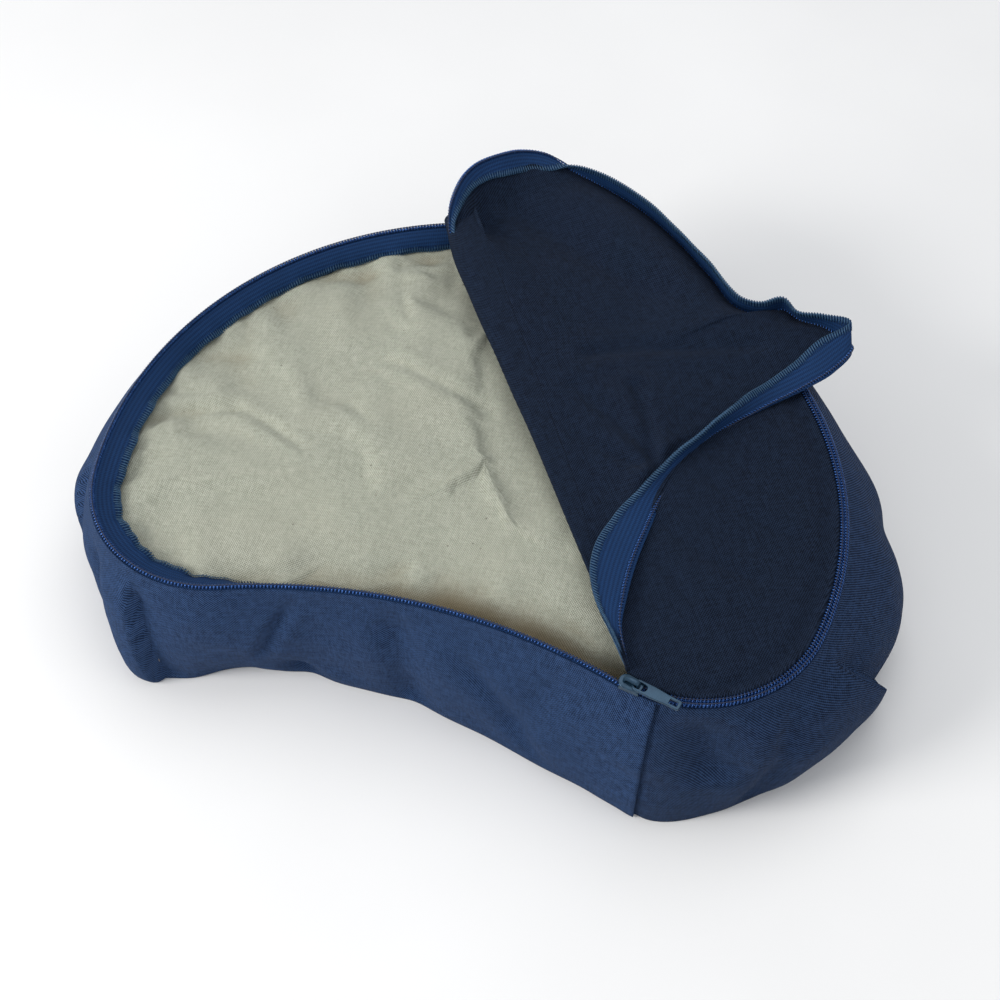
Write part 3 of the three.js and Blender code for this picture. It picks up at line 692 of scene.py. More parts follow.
def side_panel(name, start, end, lap, finish):
    """A piece of the side wall. Beside the zip its cloth is turned in under the coil. At its lap, a
    place, depth and width, it stands proud or runs in under its neighbour."""
    heights = np.linspace(0, 1, 60)
    length = np.linspace(start, end, int((end - start) / 0.0019))[:, None]
    z = FLOOR + 0.0006 + (RIM - 0.0018 - FLOOR) * heights[None, :]
    lap_at, lap_depth, lap_width = lap
    reach = wall_reach(length, heights[None, :]) + lap_depth * hump(length - lap_at, lap_width)
    wall = zip_points(length, reach, z)
    top = hem_reach(length)
    turned = [(0.0002, -0.0002), (0.0007, 0.0003), (0.0014, -0.0003), (0.0018, -0.0018)]
    edge = [zip_points(length, top - back, RIM + rise)[:, 0] for back, rise in turned]
    tuck = [(0.0060, 0.0000), (0.0022, 0.0001)]
    foot = [zip_points(length, reach[:, :1] - back, FLOOR + rise)[:, 0] for back, rise in tuck]
    grid = np.concatenate([np.stack(foot, axis=1), wall, np.stack(edge, axis=1)], axis=1)
    height_run = np.concatenate([[-0.008, -0.004], heights * (RIM - FLOOR), RIM + 0.001 * np.arange(1, 5)])
    uv = np.dstack(np.broadcast_arrays(length, height_run[None, :]))
    return cloth(name, grid, finish, COVER_CLOTH, uv)


def bottom_panel():
    around = np.linspace(0, ZIP_LENGTH, 500, endpoint=False)
    edge = zip_plan(around, wall_reach(around, np.zeros_like(around)) - 0.0015)
    centre = edge.mean(axis=0)
    shares = np.linspace(0.02, 1, 30)
    plan = centre + shares[None, :, None] * (edge[:, None] - centre)
    lift = 0.0008 + 0.0006 * ripple(plan[..., 0], plan[..., 1], 11, 0.08) * (1 - shares[None, :] ** 4)
    grid = np.dstack([plan, FLOOR + np.maximum(lift, 0.0)])
    points = np.concatenate([grid.reshape(-1, 3), [[*centre, FLOOR + 0.0008]]])
    faces = grid_faces(500, 30, close_rows=True)
    faces += [[((k + 1) % 500) * 30, k * 30, len(points) - 1] for k in range(500)]
    return thicken(mesh_object("cover_bottom_panel", points, faces, navy_wall, points[:, :2]), COVER_CLOTH)


# ---- Inner cushion ----
def case_wrinkles(x, y, edge):
    """Soft folds that run from the back and left edges towards the hollow front."""
    turned = 0.62 * x + 0.78 * y
    crossed = 0.78 * x - 0.62 * y
    folds = ripple(turned + 0.25 * ripple(x, y, 21, 0.14) * 0.06, crossed * 0.25, 22, 0.075, 5)
    fine = ripple(x + 0.2 * y, y * 0.5, 23, 0.030, 5)
    return folds * (0.0016 + 0.0022 * edge) + fine * (0.0004 + 0.0015 * edge)


def inner_cushion(name, finish, shrink, around, rings):
    """Closed form: crowned top, a soft shoulder and sides that swell inside the cover."""
    low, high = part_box("inner_case_top")
    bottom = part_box("inner_case_bottom")[0].z
    length = np.linspace(0, ZIP_LENGTH, around, endpoint=False)
    plan = zip_plan(length, -CASE_INSET - shrink)
    sections = []
    place = length / ZIP_LENGTH
    front = smoothstep(place, 0.77, 0.86) + 1 - smoothstep(place, 0.0, 0.05)
    shoulder_z = low.z + 0.0045 - 0.013 * np.minimum(front, 1) - shrink
    for height in np.linspace(0.0, 1.0, 14):
        z = bottom + shrink + height * (shoulder_z - bottom - shrink)
        share = (z - FLOOR) / (RIM - FLOOR)
        inset = 0.0045 + 0.0025 * smoothstep(height, 0.4, 0.9) + shrink
        reach = np.minimum(wall_reach(length, share), 0.032) - inset
        round_in = 0.010 * (1 - smoothstep(height, -0.3, 0.12))
        top_in = smoothstep(height, 0.55, 1.0)
        offset = (reach - round_in) * (1 - top_in) + (-CASE_INSET - shrink) * top_in
        sections.append(np.column_stack([zip_plan(length, offset), z]))
    for share in np.linspace(0.985, 0.03, rings):
        moved = CENTRE + share * (plan - CENTRE)
        edge = smoothstep(share, 0.55, 0.95)
        rise = (high.z - shoulder_z - shrink) * (1 - share**4)
        wrinkled = case_wrinkles(moved[:, 0], moved[:, 1], edge) + plan_creases(moved, CASE_CREASES)
        z = shoulder_z + rise + wrinkled * smoothstep(-share, -1.02, -0.93)
        sections.append(np.column_stack([moved, z]))
    grid = np.array(sections)
    ends = [[*CENTRE, grid[-1, :, 2].mean()], [*CENTRE, bottom + shrink]]
    points = np.concatenate([grid.reshape(-1, 3), ends])
    faces = [face[::-1] for face in grid_faces(len(grid), around, close_columns=True)]
    last = (len(grid) - 1) * around
    top, base = len(points) - 2, len(points) - 1
    faces += [[last + k, last + (k + 1) % around, top] for k in range(around)]
    faces += [[(k + 1) % around, k, base] for k in range(around)]
    return mesh_object(name, points, faces, finish)


def coordinates(mesh):
    flat = np.zeros(len(mesh.vertices) * 3, np.float32)
    mesh.vertices.foreach_get("co", flat)
    return flat.reshape(-1, 3)


def settle(piece, slack, most):
    """Lets the top of a filled bag settle as cloth with some slack in it, so that it wrinkles.
    How far it moves is capped."""
    start = coordinates(piece.data)
    held = piece.vertex_groups.new(name="held")
    rim = start[:, 2].max() - 0.014
    held.add([k for k, z in enumerate(start[:, 2]) if z < rim], 1.0, "REPLACE")
    cloth_modifier = piece.modifiers.new("settle", "CLOTH")
    settings = cloth_modifier.settings
    settings.vertex_group_mass = held.name
    settings.quality = 5
    settings.mass = 0.2
    settings.tension_stiffness = 30
    settings.compression_stiffness = 30
    settings.bending_stiffness = 0.8
    settings.shrink_min = -slack
    settings.use_pressure = True
    settings.uniform_pressure_force = 0.4
    settings.effector_weights.gravity = 0
    scene = bpy.context.scene
    for step in range(1, 21):
        scene.frame_set(step)
    settled = piece.evaluated_get(bpy.context.evaluated_depsgraph_get())
    move = coordinates(settled.data) - start
    size = np.maximum(np.linalg.norm(move, axis=1, keepdims=True), 1e-9)
    moved = start + move * (most * np.tanh(size / most) / size)
    piece.modifiers.remove(cloth_modifier)
    piece.vertex_groups.clear()
    scene.frame_set(1)
    piece.data.vertices.foreach_set("co", moved.ravel())
    piece.data.update()


def subdivide(piece):
    """Splits every face once, rounded, and keeps the result."""
    modifier = piece.modifiers.new("finer", "SUBSURF")
    modifier.levels = 1
    finer = piece.evaluated_get(bpy.context.evaluated_depsgraph_get())
    mesh = bpy.data.meshes.new_from_object(finer)
    piece.modifiers.remove(modifier)
    piece.data = mesh


# ---- Top panel: the closed part, the fold's roll and the flap ----
outline = zip_plan(np.linspace(0, ZIP_LENGTH, 720, endpoint=False), PANEL_OFFSET)
outline_polar = outline - CENTRE
outline_angle = np.arctan2(outline_polar[:, 1], outline_polar[:, 0])
outline_order = np.argsort(outline_angle)


def dome(plan):
    """Height of the top panel's crown over its edge."""
    off = plan - CENTRE
    angle = np.arctan2(off[..., 1], off[..., 0])
    reach = np.interp(angle, outline_angle[outline_order],
                      np.linalg.norm(outline_polar, axis=1)[outline_order], period=2 * math.pi)
    share = np.linalg.norm(off, axis=-1) / reach
    return TOP_CROWN * np.maximum(0, 1 - share**2)


def panel_top(plan):
    """Height of the closed panel's top face: flat beside the fold, crowned further on."""
    return PANEL_Z + dome(plan) * smoothstep(np.abs(across_fold(plan)), 0.008, 0.075)


def roll_at(along):
    rows = np.array(ROLL)
    return np.moveaxis(smooth(rows[:, 0], rows[:, 1:], np.clip(along, 0, rows[-1, 0])), -1, 0)


def join_at(along):
    """Distance from the fold to where the roll meets the panels, less where the flap is narrow."""
    return JOIN_AT * (1 - 0.96 * smoothstep(along, FOLD_SPAN - 0.14, FOLD_SPAN - 0.02))


def closed_panel():
    """From the roll to the zip, crowned, with a hollow along the turned edge by the coil."""
    rows, columns = 260, 110
    share = np.linspace(0, 1, rows)[:, None]
    t = np.linspace(0, 1, columns)[None, :]
    along = share * FOLD_SPAN + 0 * t
    start = at_fold(along, join_at(along), along * 0)[..., :2]
    length = FOLD_LENGTH_AT - 0.001 - share * (FOLD_LENGTH_AT - 0.006)
    end = zip_plan(length + 0 * t, PANEL_OFFSET)
    plan = start + (end - start) * t[..., None] ** 0.9
    away = np.abs(across_fold(plan))
    hollow = ripple(plan[..., 0], plan[..., 1], 31, 0.10) * 0.0012 * smoothstep(away, 0.02, 0.06)
    hollow = hollow + plan_creases(plan, PANEL_CREASES)
    edge = np.linalg.norm(plan - end, axis=-1)
    dip = -0.0016 * hump(edge - 0.006, 0.006) * smoothstep(away, 0.01, 0.05)
    z = panel_top(plan) + hollow * smoothstep(edge, 0.0, 0.03) + dip
    grid = np.dstack([plan, z])
    turned = [(0.0006, -0.0004), (0.0012, -0.0014), (0.0010, -0.0024)]
    rim = [zip_points(length, PANEL_OFFSET + out, PANEL_Z + drop)[:, 0] for out, drop in turned]
    grid = np.concatenate([grid, np.stack(rim, axis=1)], axis=1)
    return cloth("cover_top_panel", grid[:, ::-1], navy_top_painted_shade, COVER_CLOTH, plan_uv(grid[:, ::-1]))


def fold_roll():
    """The soft roll where the top panel turns back: under layer, round the roll, upper layer."""
    rows, straight, bend = 260, 10, 36
    along = np.linspace(0, FOLD_SPAN, rows)[:, None]
    half, bulge = roll_at(along)
    join = join_at(along)
    turn = np.linspace(-math.pi / 2, math.pi / 2, bend)[None, :]
    wave = 1 + 0.025 * ripple(along, turn * 0.01, 41, 0.09)
    across = np.concatenate([
        join * (1 - np.linspace(0, 1, straight, endpoint=False)[None, :]),
        -bulge * wave * np.cos(turn),
        join * np.linspace(0, 1, straight + 1)[None, 1:],
    ], axis=1)
    under = PANEL_Z + 0 * along
    z = np.concatenate([
        under + np.zeros((1, straight)),
        under + half + half * np.sin(turn),
        under + 2 * half + np.zeros((1, straight)),
    ], axis=1)
    grid = at_fold(along + 0 * across, across, z)
    run = cloth_uv(grid).reshape(grid.shape[0], grid.shape[1], 2)
    uv = np.dstack([along + 0 * across, join - run[..., 1]])
    return cloth("cover_top_fold", grid, navy_top_painted_shade, COVER_CLOTH, uv)


def flap_rows():
    """The flap's rim rows and its places on the fold, from the back end to the slider."""
    offset = np.array([*middle, RIM])
    coil = np.array([row[0] for row in FLAP_RIM]) + offset
    serge = np.array([row[1] for row in FLAP_RIM]) + offset
    shoulder = np.array([row[2] for row in FLAP_RIM])
    run = lengths_of(coil) / lengths_of(coil)[-1]
    square = np.maximum.accumulate(np.clip(along_fold(coil[:, :2]) / FOLD_SPAN, 0, 1))
    along = (FOLD_CROWD * run + (1 - FOLD_CROWD) * square) * FOLD_SPAN
    half, _ = roll_at(along)
    joined = at_fold(along, join_at(along), PANEL_Z + 2 * half)
    inward = joined - coil
    inward[:, 2] = 0
    inward /= np.maximum(np.linalg.norm(inward, axis=1, keepdims=True), 1e-6)
    bend = coil + inward * shoulder[:, :1] + np.array([0, 0, 1]) * shoulder[:, 1:]
    return run, coil, serge, joined, bend


def flap_grid(rows, columns):
    """The flap's upper face: over the closed panel, up to its shoulder and on to the coil."""
    run, coil, _, joined, bend = flap_rows()
    lying_rows = []
    for share in (0.05, 0.33, 0.64):
        point = joined + (bend - joined) * share
        lying = panel_top(point[:, :2]) + FLAP_GAP
        sunk = 0.65 * smoothstep(share, 0.04, 0.3)
        straight = joined[:, 2] if share < 0.1 else point[:, 2]
        point[:, 2] = np.maximum(lying, (1 - sunk) * straight + sunk * lying)
        lying_rows.append(point)
    columns_at = np.stack([joined, *lying_rows, bend, coil], axis=1)
    at = np.linspace(0, 1, rows)
    along = smooth(run, columns_at, at)
    share = np.linspace(0, 1, columns)
    across = smooth([0, 0.05, 0.31, 0.6, 0.9, 1], np.moveaxis(along, 1, 0), share)
    grid = np.moveaxis(across, 0, 1)
    x, y = grid[..., 0], grid[..., 1]
    inside = np.sin(math.pi * share)[None, :]
    grid[..., 2] += inside * (0.0016 * ripple(x, y, 51, 0.11) + 0.0004 * ripple(x, y, 52, 0.035))
    grid[..., 2] += inside * 1.7 * plan_creases(grid[..., :2], FLAP_CREASES)
    lowest = panel_top(grid[..., :2]) + 0.0022
    over = grid[..., 2] - lowest
    grid[..., 2] = lowest + (over + np.sqrt(over**2 + 0.0012**2)) / 2
    return grid


def flap_panel():
    grid = flap_grid(520, 120)
    return cloth("cover_flap_panel", grid, navy_top_painted_shade, COVER_CLOTH, plan_uv(grid))


# ---- Zip ----
def band(coil, serge, columns, wave):
    """Tape from the coil to its overlocked edge, which waves a little."""
    t = np.linspace(-BAND_UNDER, 1, columns)[None, :, None]
    grid = coil[:, None] + (serge - coil)[:, None] * t
    grid[..., 2] += wave[:, None] * t[..., 0] ** 2
    return grid


def coil_line(base, outward, up, half_width, phase=0.0):
    """Centre line of a coil: turns of wire about a base line."""
    run = lengths_of(base)
    turns = run / COIL_PITCH * 2 * math.pi + phase
    return (
        base + outward * (half_width * np.cos(turns))[:, None]
        + up * (COIL_HALF_HEIGHT * np.sin(turns))[:, None]
    )


def coil_on_zip(name, start, end, inner, outer, phase=0.0):
    length = np.linspace(start, end, int((end - start) / COIL_PITCH * COIL_STEPS))
    z = RIM + COIL_WIRE + COIL_HALF_HEIGHT
    base = zip_points(length[:, None], (inner + outer) / 2, z)[:, 0]
    away = unit(zip_points(length[:, None], (inner + outer) / 2 + 0.001, z)[:, 0] - base)
    up = np.array([0, 0, 1.0])
    line = coil_line(base, away, up, abs(outer - inner) / 2 - COIL_WIRE, phase)
    return tube(name, line, COIL_WIRE, coil_blue), coil_seam(name + "_seam", base, up)


def coil_seam(name, base, up):
    """The sewing thread that holds a coil to its tape, pulled in over the turns."""
    run = lengths_of(base) / COIL_PITCH * 2 * math.pi
    dip = COIL_HALF_HEIGHT + COIL_WIRE * (0.75 + 0.2 * np.cos(run))
    return tube(name, base + up * dip[:, None], COIL_SEAM, seam_blue)


def overlock(name, edge, inward, lift):
    """Overlock stitches along an edge: a thread in over the tape and back, and round the edge."""
    run = lengths_of(edge)
    count = int(run[-1] / SERGE_PITCH)
    places = np.linspace(0, run[-1], count)
    at, into, out = (between(places, run, values) for values in (edge, inward, lift))
    ahead = np.gradient(at, axis=0) * 0.5
    over = SERGE_THREAD + 0.0002
    uneven = 1 + 0.15 * ripple(places, places, 61, 0.006)[:, None]
    reach = into * SERGE_WIDTH * uneven
    corners = []
    for face in (out * over, -out * (over + TAPE_CLOTH)):
        corners += [
            at - into * 0.0003 + face,
            at + reach * 0.5 + face * 1.1 + ahead * 0.1,
            at + reach + face + ahead * 0.25,
            at + reach * 0.5 + face * 1.1 + ahead * 0.4,
            at - into * 0.0003 + face + ahead * 0.5,
        ]
        at = at + ahead * 0.5
    line = np.stack(corners, axis=1).reshape(-1, 3)
    return tube(name, line, SERGE_THREAD, thread_blue, sides=4)


def side_tape_grid():
    """The side wall's tape hangs inside the rim. It leans in most at the left lobe."""
    start, end = FOLD_LENGTH_AT + 0.0003, FOLD_LENGTH_AT + ZIP_LENGTH - 0.0003
    length = np.linspace(start, end, 900)
    place = np.mod(length, ZIP_LENGTH) / ZIP_LENGTH
    knots = [0.0, 0.42, 0.47, 0.55, 0.62, 0.70, 0.76, 0.80, 0.84, 0.90, 1.0]
    lean = smooth(knots, np.array([8, 8, 26, 34, 42, 62, 66, 48, 20, 8, 8.0]), place)
    lean = np.radians(lean + 5 * ripple(length, 0, 71, 0.07) * smoothstep(place, 0.45, 0.5))
    width = TAPE_WIDTH * (1 + 0.05 * ripple(length, 0, 72, 0.03))
    wavy = 0.0014 * ripple(length, 0, 73, 0.024, 4) * np.sin(lean)
    t = np.linspace(0, 1, 10)[None, :]
    sag = np.sin(math.pi * t) * 0.0010
    offset = COIL_INNER - 0.0002 - np.sin(lean)[:, None] * width[:, None] * t - sag - wavy[:, None] * t**2
    z = RIM - 0.0003 - np.cos(lean)[:, None] * width[:, None] * t + wavy[:, None] * t**2
    column = np.ones((len(length), 1))
    offset = np.concatenate([column * (COIL_OUTER - 0.0002), column * (COIL_OUTER / 2), offset], axis=1)
    z = np.concatenate([column * (RIM - 0.0007), column * (RIM - 0.0004), z], axis=1)
    return np.dstack([zip_plan(length[:, None], offset), z])


def edge_frame(grid):
    """Edge points, the direction in over the cloth, and the direction that the cloth faces."""
    edge = grid[:, -1]
    into = unit(grid[:, -3] - edge)
    return edge, into, unit(np.cross(np.gradient(edge, axis=0), into))


def closed_tape():
    length = np.linspace(0.004, FOLD_LENGTH_AT - 0.004, 400)[:, None]
    t = np.linspace(0, 1, 5)[None, :]
    plan = zip_plan(length + 0 * t, -COIL_INNER + 0.0008 - TAPE_WIDTH * t)
    return np.dstack([plan, RIM - 0.0004 + 0 * plan[..., 0]])


# ---- Slider ----
def slider_frame():
    """Places and directions at the slider: along the zip to its tail, inwards, and up."""
    turn = ARCS[0][3]
    tail = np.array([-math.sin(turn), math.cos(turn), 0.0])
    inward = np.array([-math.cos(turn), -math.sin(turn), 0.0])
    origin = np.array([*zip_plan(0.0, 0.0), 0.0])
    return origin, tail, inward, np.array([0, 0, 1.0])


def in_slider(points):
    origin, tail, inward, up = slider_frame()
    points = np.asarray(points, float)
    return origin + points[:, :1] * tail + points[:, 1:2] * inward + points[:, 2:] * up


def rounded_plate(outline_points, low, high, crown=0.0, holes=(), bevel=0.0004):
    """A plate with an outline in the slider's frame, crowned on top, with bevelled edges."""
    curve = bpy.data.curves.new("plate", "CURVE")
    curve.dimensions = "2D"
    curve.fill_mode = "BOTH"
    curve.extrude = (high - low) / 2 - bevel
    curve.bevel_depth = bevel
    curve.bevel_resolution = 3
    curve.offset = -bevel
    for ring in (outline_points, *holes):
        spline = curve.splines.new("POLY")
        spline.points.add(len(ring) - 1)
        spline.use_cyclic_u = True
        for point, (x, y) in zip(spline.points, ring):
            point.co = (x, y, 0, 1)
    holder = bpy.data.objects.new("plate", curve)
    bpy.context.scene.collection.objects.link(holder)
    graph = bpy.context.evaluated_depsgraph_get()
    mesh = bpy.data.meshes.new_from_object(holder.evaluated_get(graph))
    bpy.data.objects.remove(holder)
    points = np.array([v.co for v in mesh.vertices])
    span = max(abs(np.array(outline_points)[:, 1]))
    crowned = crown * (1 - (points[:, 1] / span) ** 2)
    points[:, 2] += (low + high) / 2 + np.where(points[:, 2] > 0, crowned, 0)
    faces = [list(p.vertices) for p in mesh.polygons]
    bpy.data.meshes.remove(mesh)
    return points, faces


def arc_points(x, y, radius_x, radius_y, start, end, count):
    turn = np.radians(np.linspace(start, end, count))
    return [(x + radius_x * math.cos(a), y + radius_y * math.sin(a)) for a in turn]


def join_parts(name, parts):
    """One enamelled piece from parts in the slider's frame, with its edges of over 40 degrees sharp."""
    points, faces, count = [], [], 0
    for part_points, part_faces in parts:
        faces += [[count + k for k in face] for face in part_faces]
        points.append(part_points)
        count += len(part_points)
    piece = mesh_object(name, in_slider(np.concatenate(points)), faces, enamel)
    piece.data.set_sharp_from_angle(angle=math.radians(40))
    return piece


def slider_body():
    """Crowned top plate with a round nose, side flanges, and the lower wing between the coils."""
    low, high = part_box("zip_slider")
    top = high.z
    shape = arc_points(-0.0035, 0, 0.0042, 0.0047, 90, 270, 20) + [(0.001, -0.0044), (0.0052, -0.0036)]
    shape += arc_points(0.0056, 0, 0.0012, 0.0034, -80, 80, 8) + [(0.0052, 0.0036), (0.001, 0.0044)]
    parts = [rounded_plate(shape, top - 0.0016, top, 0.0007)]
    flange_corners = [(-0.006, 0.0046), (0.006, 0.0038), (0.006, 0.0030), (-0.006, 0.0037)]
    for side in (-1, 1):
        flange = [(x, side * y) for x, y in flange_corners]
        parts.append(rounded_plate(flange[::side], RIM + 0.0004, top - 0.0010, bevel=0.0002))
    wing = arc_points(-0.0035, 0, 0.0040, 0.0044, 90, 270, 16) + [(0.006, -0.0034), (0.006, 0.0034)]
    parts.append(rounded_plate(wing, low.z, low.z + 0.0013))
    post = [(-0.0032, -0.0004), (0.0002, -0.0004), (0.0002, 0.0004), (-0.0032, 0.0004)]
    parts.append(rounded_plate(post, low.z + 0.001, top - 0.001, bevel=0.0001))
    return join_parts("zip_slider_body", parts)


def slider_loop():
    """The bridge: a flat bar that rises from the nose, runs level over the puller and comes down."""
    low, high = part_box("zip_slider_bridge")
    base, top = low.z - 0.0006, high.z + 0.0004
    across = np.linspace(-1, 1, 9)
    line = [(-0.0052, base), (-0.0050, base + 0.0016), (-0.0042, top - 0.0006), (-0.0028, top),
            (0.0, top + 0.0003), (0.0028, top), (0.0042, top - 0.0008), (0.0048, base + 0.0012),
            (0.0049, base)]
    knots = np.linspace(0, 1, len(line))
    path = smooth(knots, np.array(line), np.linspace(0, 1, 48))
    ahead = unit(np.gradient(path, axis=0))
    normal = np.column_stack([-ahead[:, 1], ahead[:, 0]])
    half_width, thick = 0.0017, 0.0011
    section = [(y * half_width, 0.0004 * (1 - y**2)) for y in across]
    section += [(y * half_width, -thick) for y in across[::-1]]
    rows = []
    for (x, z), (out_x, out_z) in zip(path, normal):
        rows.append([(x + out_x * out, y, z + out_z * out) for y, out in section])
    grid = np.array(rows)
    faces = grid_faces(*grid.shape[:2], close_columns=True)
    last = (len(grid) - 1) * grid.shape[1]
    faces.append(list(range(grid.shape[1]))[::-1])
    faces.append([last + k for k in range(grid.shape[1])])
    return join_parts("zip_slider_loop", [(grid.reshape(-1, 3), [face[::-1] for face in faces])])


def puller():
    """Flat pull: wide at its eye, tapering to a square end with a window."""
    pin = Vector(joints["puller_swing"]["pos_m"])
    origin, tail, _, _ = slider_frame()
    pin_x = float((np.array(pin) - origin) @ tail)
    start, end = pin_x - 0.0010, pin_x + 0.0285
    shape = arc_points(start + 0.0032, 0, 0.0034, 0.0037, 90, 270, 14)
    shape += [(start + 0.012, -0.0038), (end - 0.008, -0.0031)]
    shape += arc_points(end - 0.0014, -0.0017, 0.0014, 0.0014, -90, 0, 6)
    shape += arc_points(end - 0.0014, 0.0017, 0.0014, 0.0014, 0, 90, 6)
    shape += [(end - 0.008, 0.0031), (start + 0.012, 0.0038)]
    eye_end = start + 0.0088
    eye = arc_points(start + 0.0026, 0, 0.0014, 0.0023, 270, 90, 10)
    eye += arc_points(eye_end - 0.0018, 0, 0.0018, 0.0023, 90, -90, 10)
    near, far = end - 0.0068, end - 0.0018
    window = [(near, -0.0016), (near, 0.0016), (far, 0.0016), (far, -0.0016)]
    low, high = pin.z - 0.00075, pin.z + 0.00075
    return join_parts("zip_pull", [rounded_plate(shape, low, high, 0.0002, (eye, window), 0.0003)])


# ---- Assembly ----
def placed(piece, body, slot, *nodes):
    if isinstance(body, str):
        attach(piece, body)
    if nodes:
        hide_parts(*nodes)
    return piece


right_lap = (SIDE_SEAM_AT, -0.0012, 0.004)
left_end = ZIP_LENGTH + SIDE_SEAM_AT
left_lap = (left_end, 0.0012, 0.006)
# The right wall takes the darker copy of the twill: painted shade on that side.
right_side = side_panel(
    "cover_side_right_panel", SIDE_SEAM_AT - 0.003, BACK_SEAM_AT, right_lap, navy_right_painted_shade,
)
left_side = side_panel("cover_side_left_panel", BACK_SEAM_AT, left_end, left_lap, navy_wall)
base_panel = bottom_panel()
top_closed = closed_panel()
roll = fold_roll()
flap = flap_panel()
placed(right_side, "cushion", "cover_twill", "cover_side_right")
placed(left_side, "cushion", "cover_twill", "cover_side_left")
placed(base_panel, "cushion", "cover_twill", "cover_bottom")
placed(top_closed, "cushion", "cover_twill", "cover_top_closed")
placed(roll, None, "cover_twill")
placed(flap, None, "cover_twill", "cover_flap", "cover_flap_end")


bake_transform(roll)
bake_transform(flap)

bag = inner_cushion("inner_case", beige, 0.0, 300, 56)
settle(bag, CASE_SLACK, CASE_SETTLES)
subdivide(bag)
filling = inner_cushion("hull_filling_core", husk, FILLING_INSET, 160, 24)
placed(bag, "cushion", "case_calico", "inner_case_top", "inner_case_side", "inner_case_bottom")
placed(filling, "cushion", "hulls", "hull_filling")

# Side tape with its overlocked edge.
side_grid = side_tape_grid()
side_tape = cloth("zip_tape_side_band", side_grid, tape_blue, TAPE_CLOTH)
placed(side_tape, "cushion", "zip_tape", "zip_tape_side")
side_edge, side_in, side_facing = edge_frame(side_grid)
side_serge = overlock("overlock_side", side_edge, side_in, side_facing)
placed(side_serge, "cushion", "zip_tape")

top_tape = cloth("zip_tape_top_band", closed_tape(), tape_blue, TAPE_CLOTH)
placed(top_tape, "cushion", "zip_tape", "zip_tape_top_closed")

# Flap tape, coil and overlocked edge.
flap_run, flap_coil_rows, flap_serge_rows, _, _ = flap_rows()
flap_at = np.linspace(0.02, 1, 900)
flap_coil = smooth(flap_run, flap_coil_rows, flap_at)
flap_serge = smooth(flap_run, flap_serge_rows, flap_at)
flap_band = band(flap_coil + [0, 0, 0.0002], flap_serge + [0, 0, 0.0012], 12,
                 0.0008 * ripple(flap_at, 0, 81, 0.03))
flap_tape = cloth("zip_tape_flap_band", flap_band, tape_blue, TAPE_CLOTH)
placed(flap_tape, None, "zip_tape", "zip_tape_flap_back", "zip_tape_flap_front", "zip_tape_flap_end")
flap_edge, flap_in, flap_facing = edge_frame(flap_band)
flap_overlock = overlock("overlock_flap", flap_edge, flap_in, -flap_facing)
placed(flap_overlock, None, "zip_tape")

base_line = even(flap_coil, int(lengths_of(flap_coil)[-1] / COIL_PITCH * COIL_STEPS))
outward_at = np.linspace(0.02, 1, len(base_line))
outward = -unit(smooth(flap_run, flap_serge_rows - flap_coil_rows, outward_at))
standing = unit(np.cross(unit(np.gradient(base_line, axis=0)), outward))
standing *= np.sign(standing[:, 2:].mean())
coil_base = base_line + outward * 0.0008 + [0, 0, 0.0006]
flap_teeth = tube(
    "zip_coil_flap", coil_line(coil_base, outward, standing, 0.0011), COIL_WIRE, coil_blue,
)
placed(flap_teeth, None, "zip_coil", "zip_coil_flap_back", "zip_coil_flap_front", "zip_coil_flap_end")
flap_seam = coil_seam("zip_coil_flap_seam", coil_base, standing)
placed(flap_seam, None, "zip_tape")
for piece in (flap_tape, flap_overlock, flap_teeth, flap_seam):
    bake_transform(piece)

open_start, open_end = FOLD_LENGTH_AT + 0.004, ZIP_LENGTH - 0.004
closed_end = FOLD_LENGTH_AT - 0.004
for name, coil_node, start, end, inner, outer, phase in (
    ("zip_coil_open", "zip_coil_side_open", open_start, open_end, COIL_INNER, COIL_OUTER, 0),
    ("zip_coil_closed_outer", "zip_coil_side_closed", 0.002, closed_end, -0.0004, 0.0030, 0),
    ("zip_coil_closed_inner", "zip_coil_top_closed", 0.002, closed_end, 0.0004, -0.0030, math.pi),
):
    coil, seam = coil_on_zip(name, start, end, inner, outer, phase)
    placed(coil, "cushion", "zip_coil", coil_node)
    placed(seam, "cushion", "zip_tape")
for name in ("zip_bottom_stop", "zip_top_stop_side"):
    stop = frame["nodes"][name]
    stop.data.materials.clear()
    stop.data.materials.append(enamel)

placed(slider_body(), "slider", "zip_metal", "zip_slider")
placed(slider_loop(), "slider", "zip_metal", "zip_slider_bridge")
placed(puller(), "puller", "zip_metal", "zip_puller")

# ---- Stage, light and camera ----
CAMERA_AZIMUTH, CAMERA_ELEVATION = 15.58, 53.69
CAMERA_DISTANCE = 1.0
LENS = 56.1  # mm, for a sensor 36 mm wide
WORLD_LIGHT = 0.62
AIM = Vector((0.0053, -0.0460, -0.0054))  # from the middle of the part's box


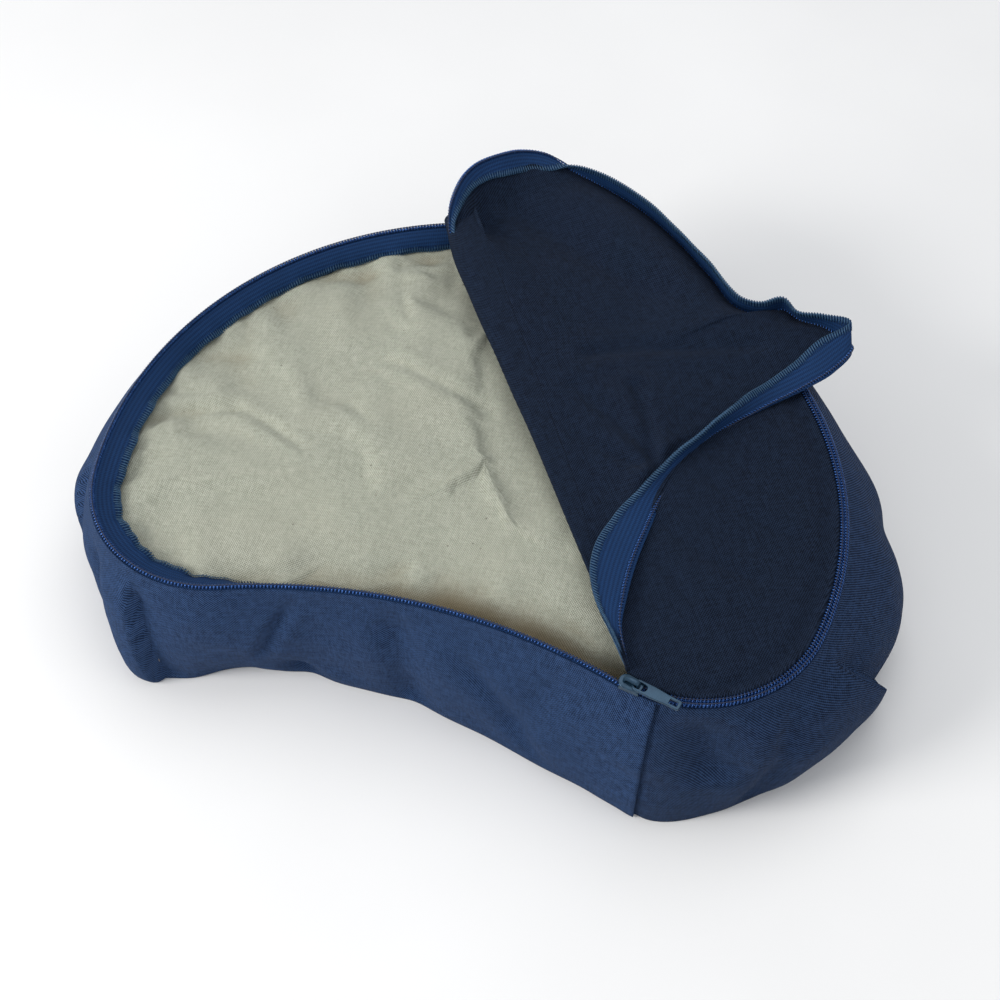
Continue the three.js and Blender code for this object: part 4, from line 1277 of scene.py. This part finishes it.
def pale_floor():
    material, tree, shader = new_material("pale_floor")
    place = tree.nodes.new("ShaderNodeTexCoord").outputs["Object"]
    tone = ramp(tree, noise(tree, place, 3.0), 0.3, 0.7)
    colour = blend_colours(tree, tone, (0.86, 0.86, 0.86, 1), (0.9, 0.9, 0.9, 1))
    feed(tree, shader, {"Base Color": colour, "Roughness": 0.9})
    size = 6.0
    corners = [(-size, -size), (size, -size), (size, size), (-size, size)]
    points = [(x, y, FLOOR - 0.0005) for x, y in corners]
    mesh_object("floor", points, [[0, 1, 2, 3]], material)


def lamp(name, place, aim, size, power, colour=(1, 1, 1)):
    light = bpy.data.lights.new(name, "AREA")
    light.shape = "DISK"
    light.size = size
    light.energy = power
    light.color = colour
    holder = bpy.data.objects.new(name, light)
    holder.location = place
    holder.rotation_euler = (Vector(aim) - Vector(place)).to_track_quat("-Z", "Y").to_euler()
    bpy.context.scene.collection.objects.link(holder)


def camera():
    azimuth, elevation = math.radians(CAMERA_AZIMUTH), math.radians(CAMERA_ELEVATION)
    back = Vector((
        math.sin(azimuth) * math.cos(elevation), -math.cos(azimuth) * math.cos(elevation),
        math.sin(elevation),
    ))
    data = bpy.data.cameras.new("camera")
    data.sensor_width = 36
    data.lens = LENS
    holder = bpy.data.objects.new("camera", data)
    holder.location = (cad_low + cad_high) / 2 + AIM + back * CAMERA_DISTANCE
    holder.rotation_euler = (-back).to_track_quat("-Z", "Y").to_euler()
    bpy.context.scene.collection.objects.link(holder)
    bpy.context.scene.camera = holder


pale_floor()
camera()
lamp("key", (-1.4, -1.1, 1.05), (0, 0, 0.05), 0.9, 27, (1.0, 0.98, 0.95))
lamp("fill", (1.2, -0.5, 1.1), (0, 0, 0.05), 1.2, 1.5)
lamp("top", (0.1, 0.5, 1.8), (0, 0, 0.05), 1.4, 8)
world = bpy.data.worlds.new("world")
bpy.context.scene.world = world
world.use_nodes = True
backdrop = world.node_tree.nodes["Background"].inputs
backdrop["Color"].default_value = (0.95, 0.97, 1.0, 1)
backdrop["Strength"].default_value = WORLD_LIGHT
bpy.context.scene.view_settings.view_transform = "Standard"
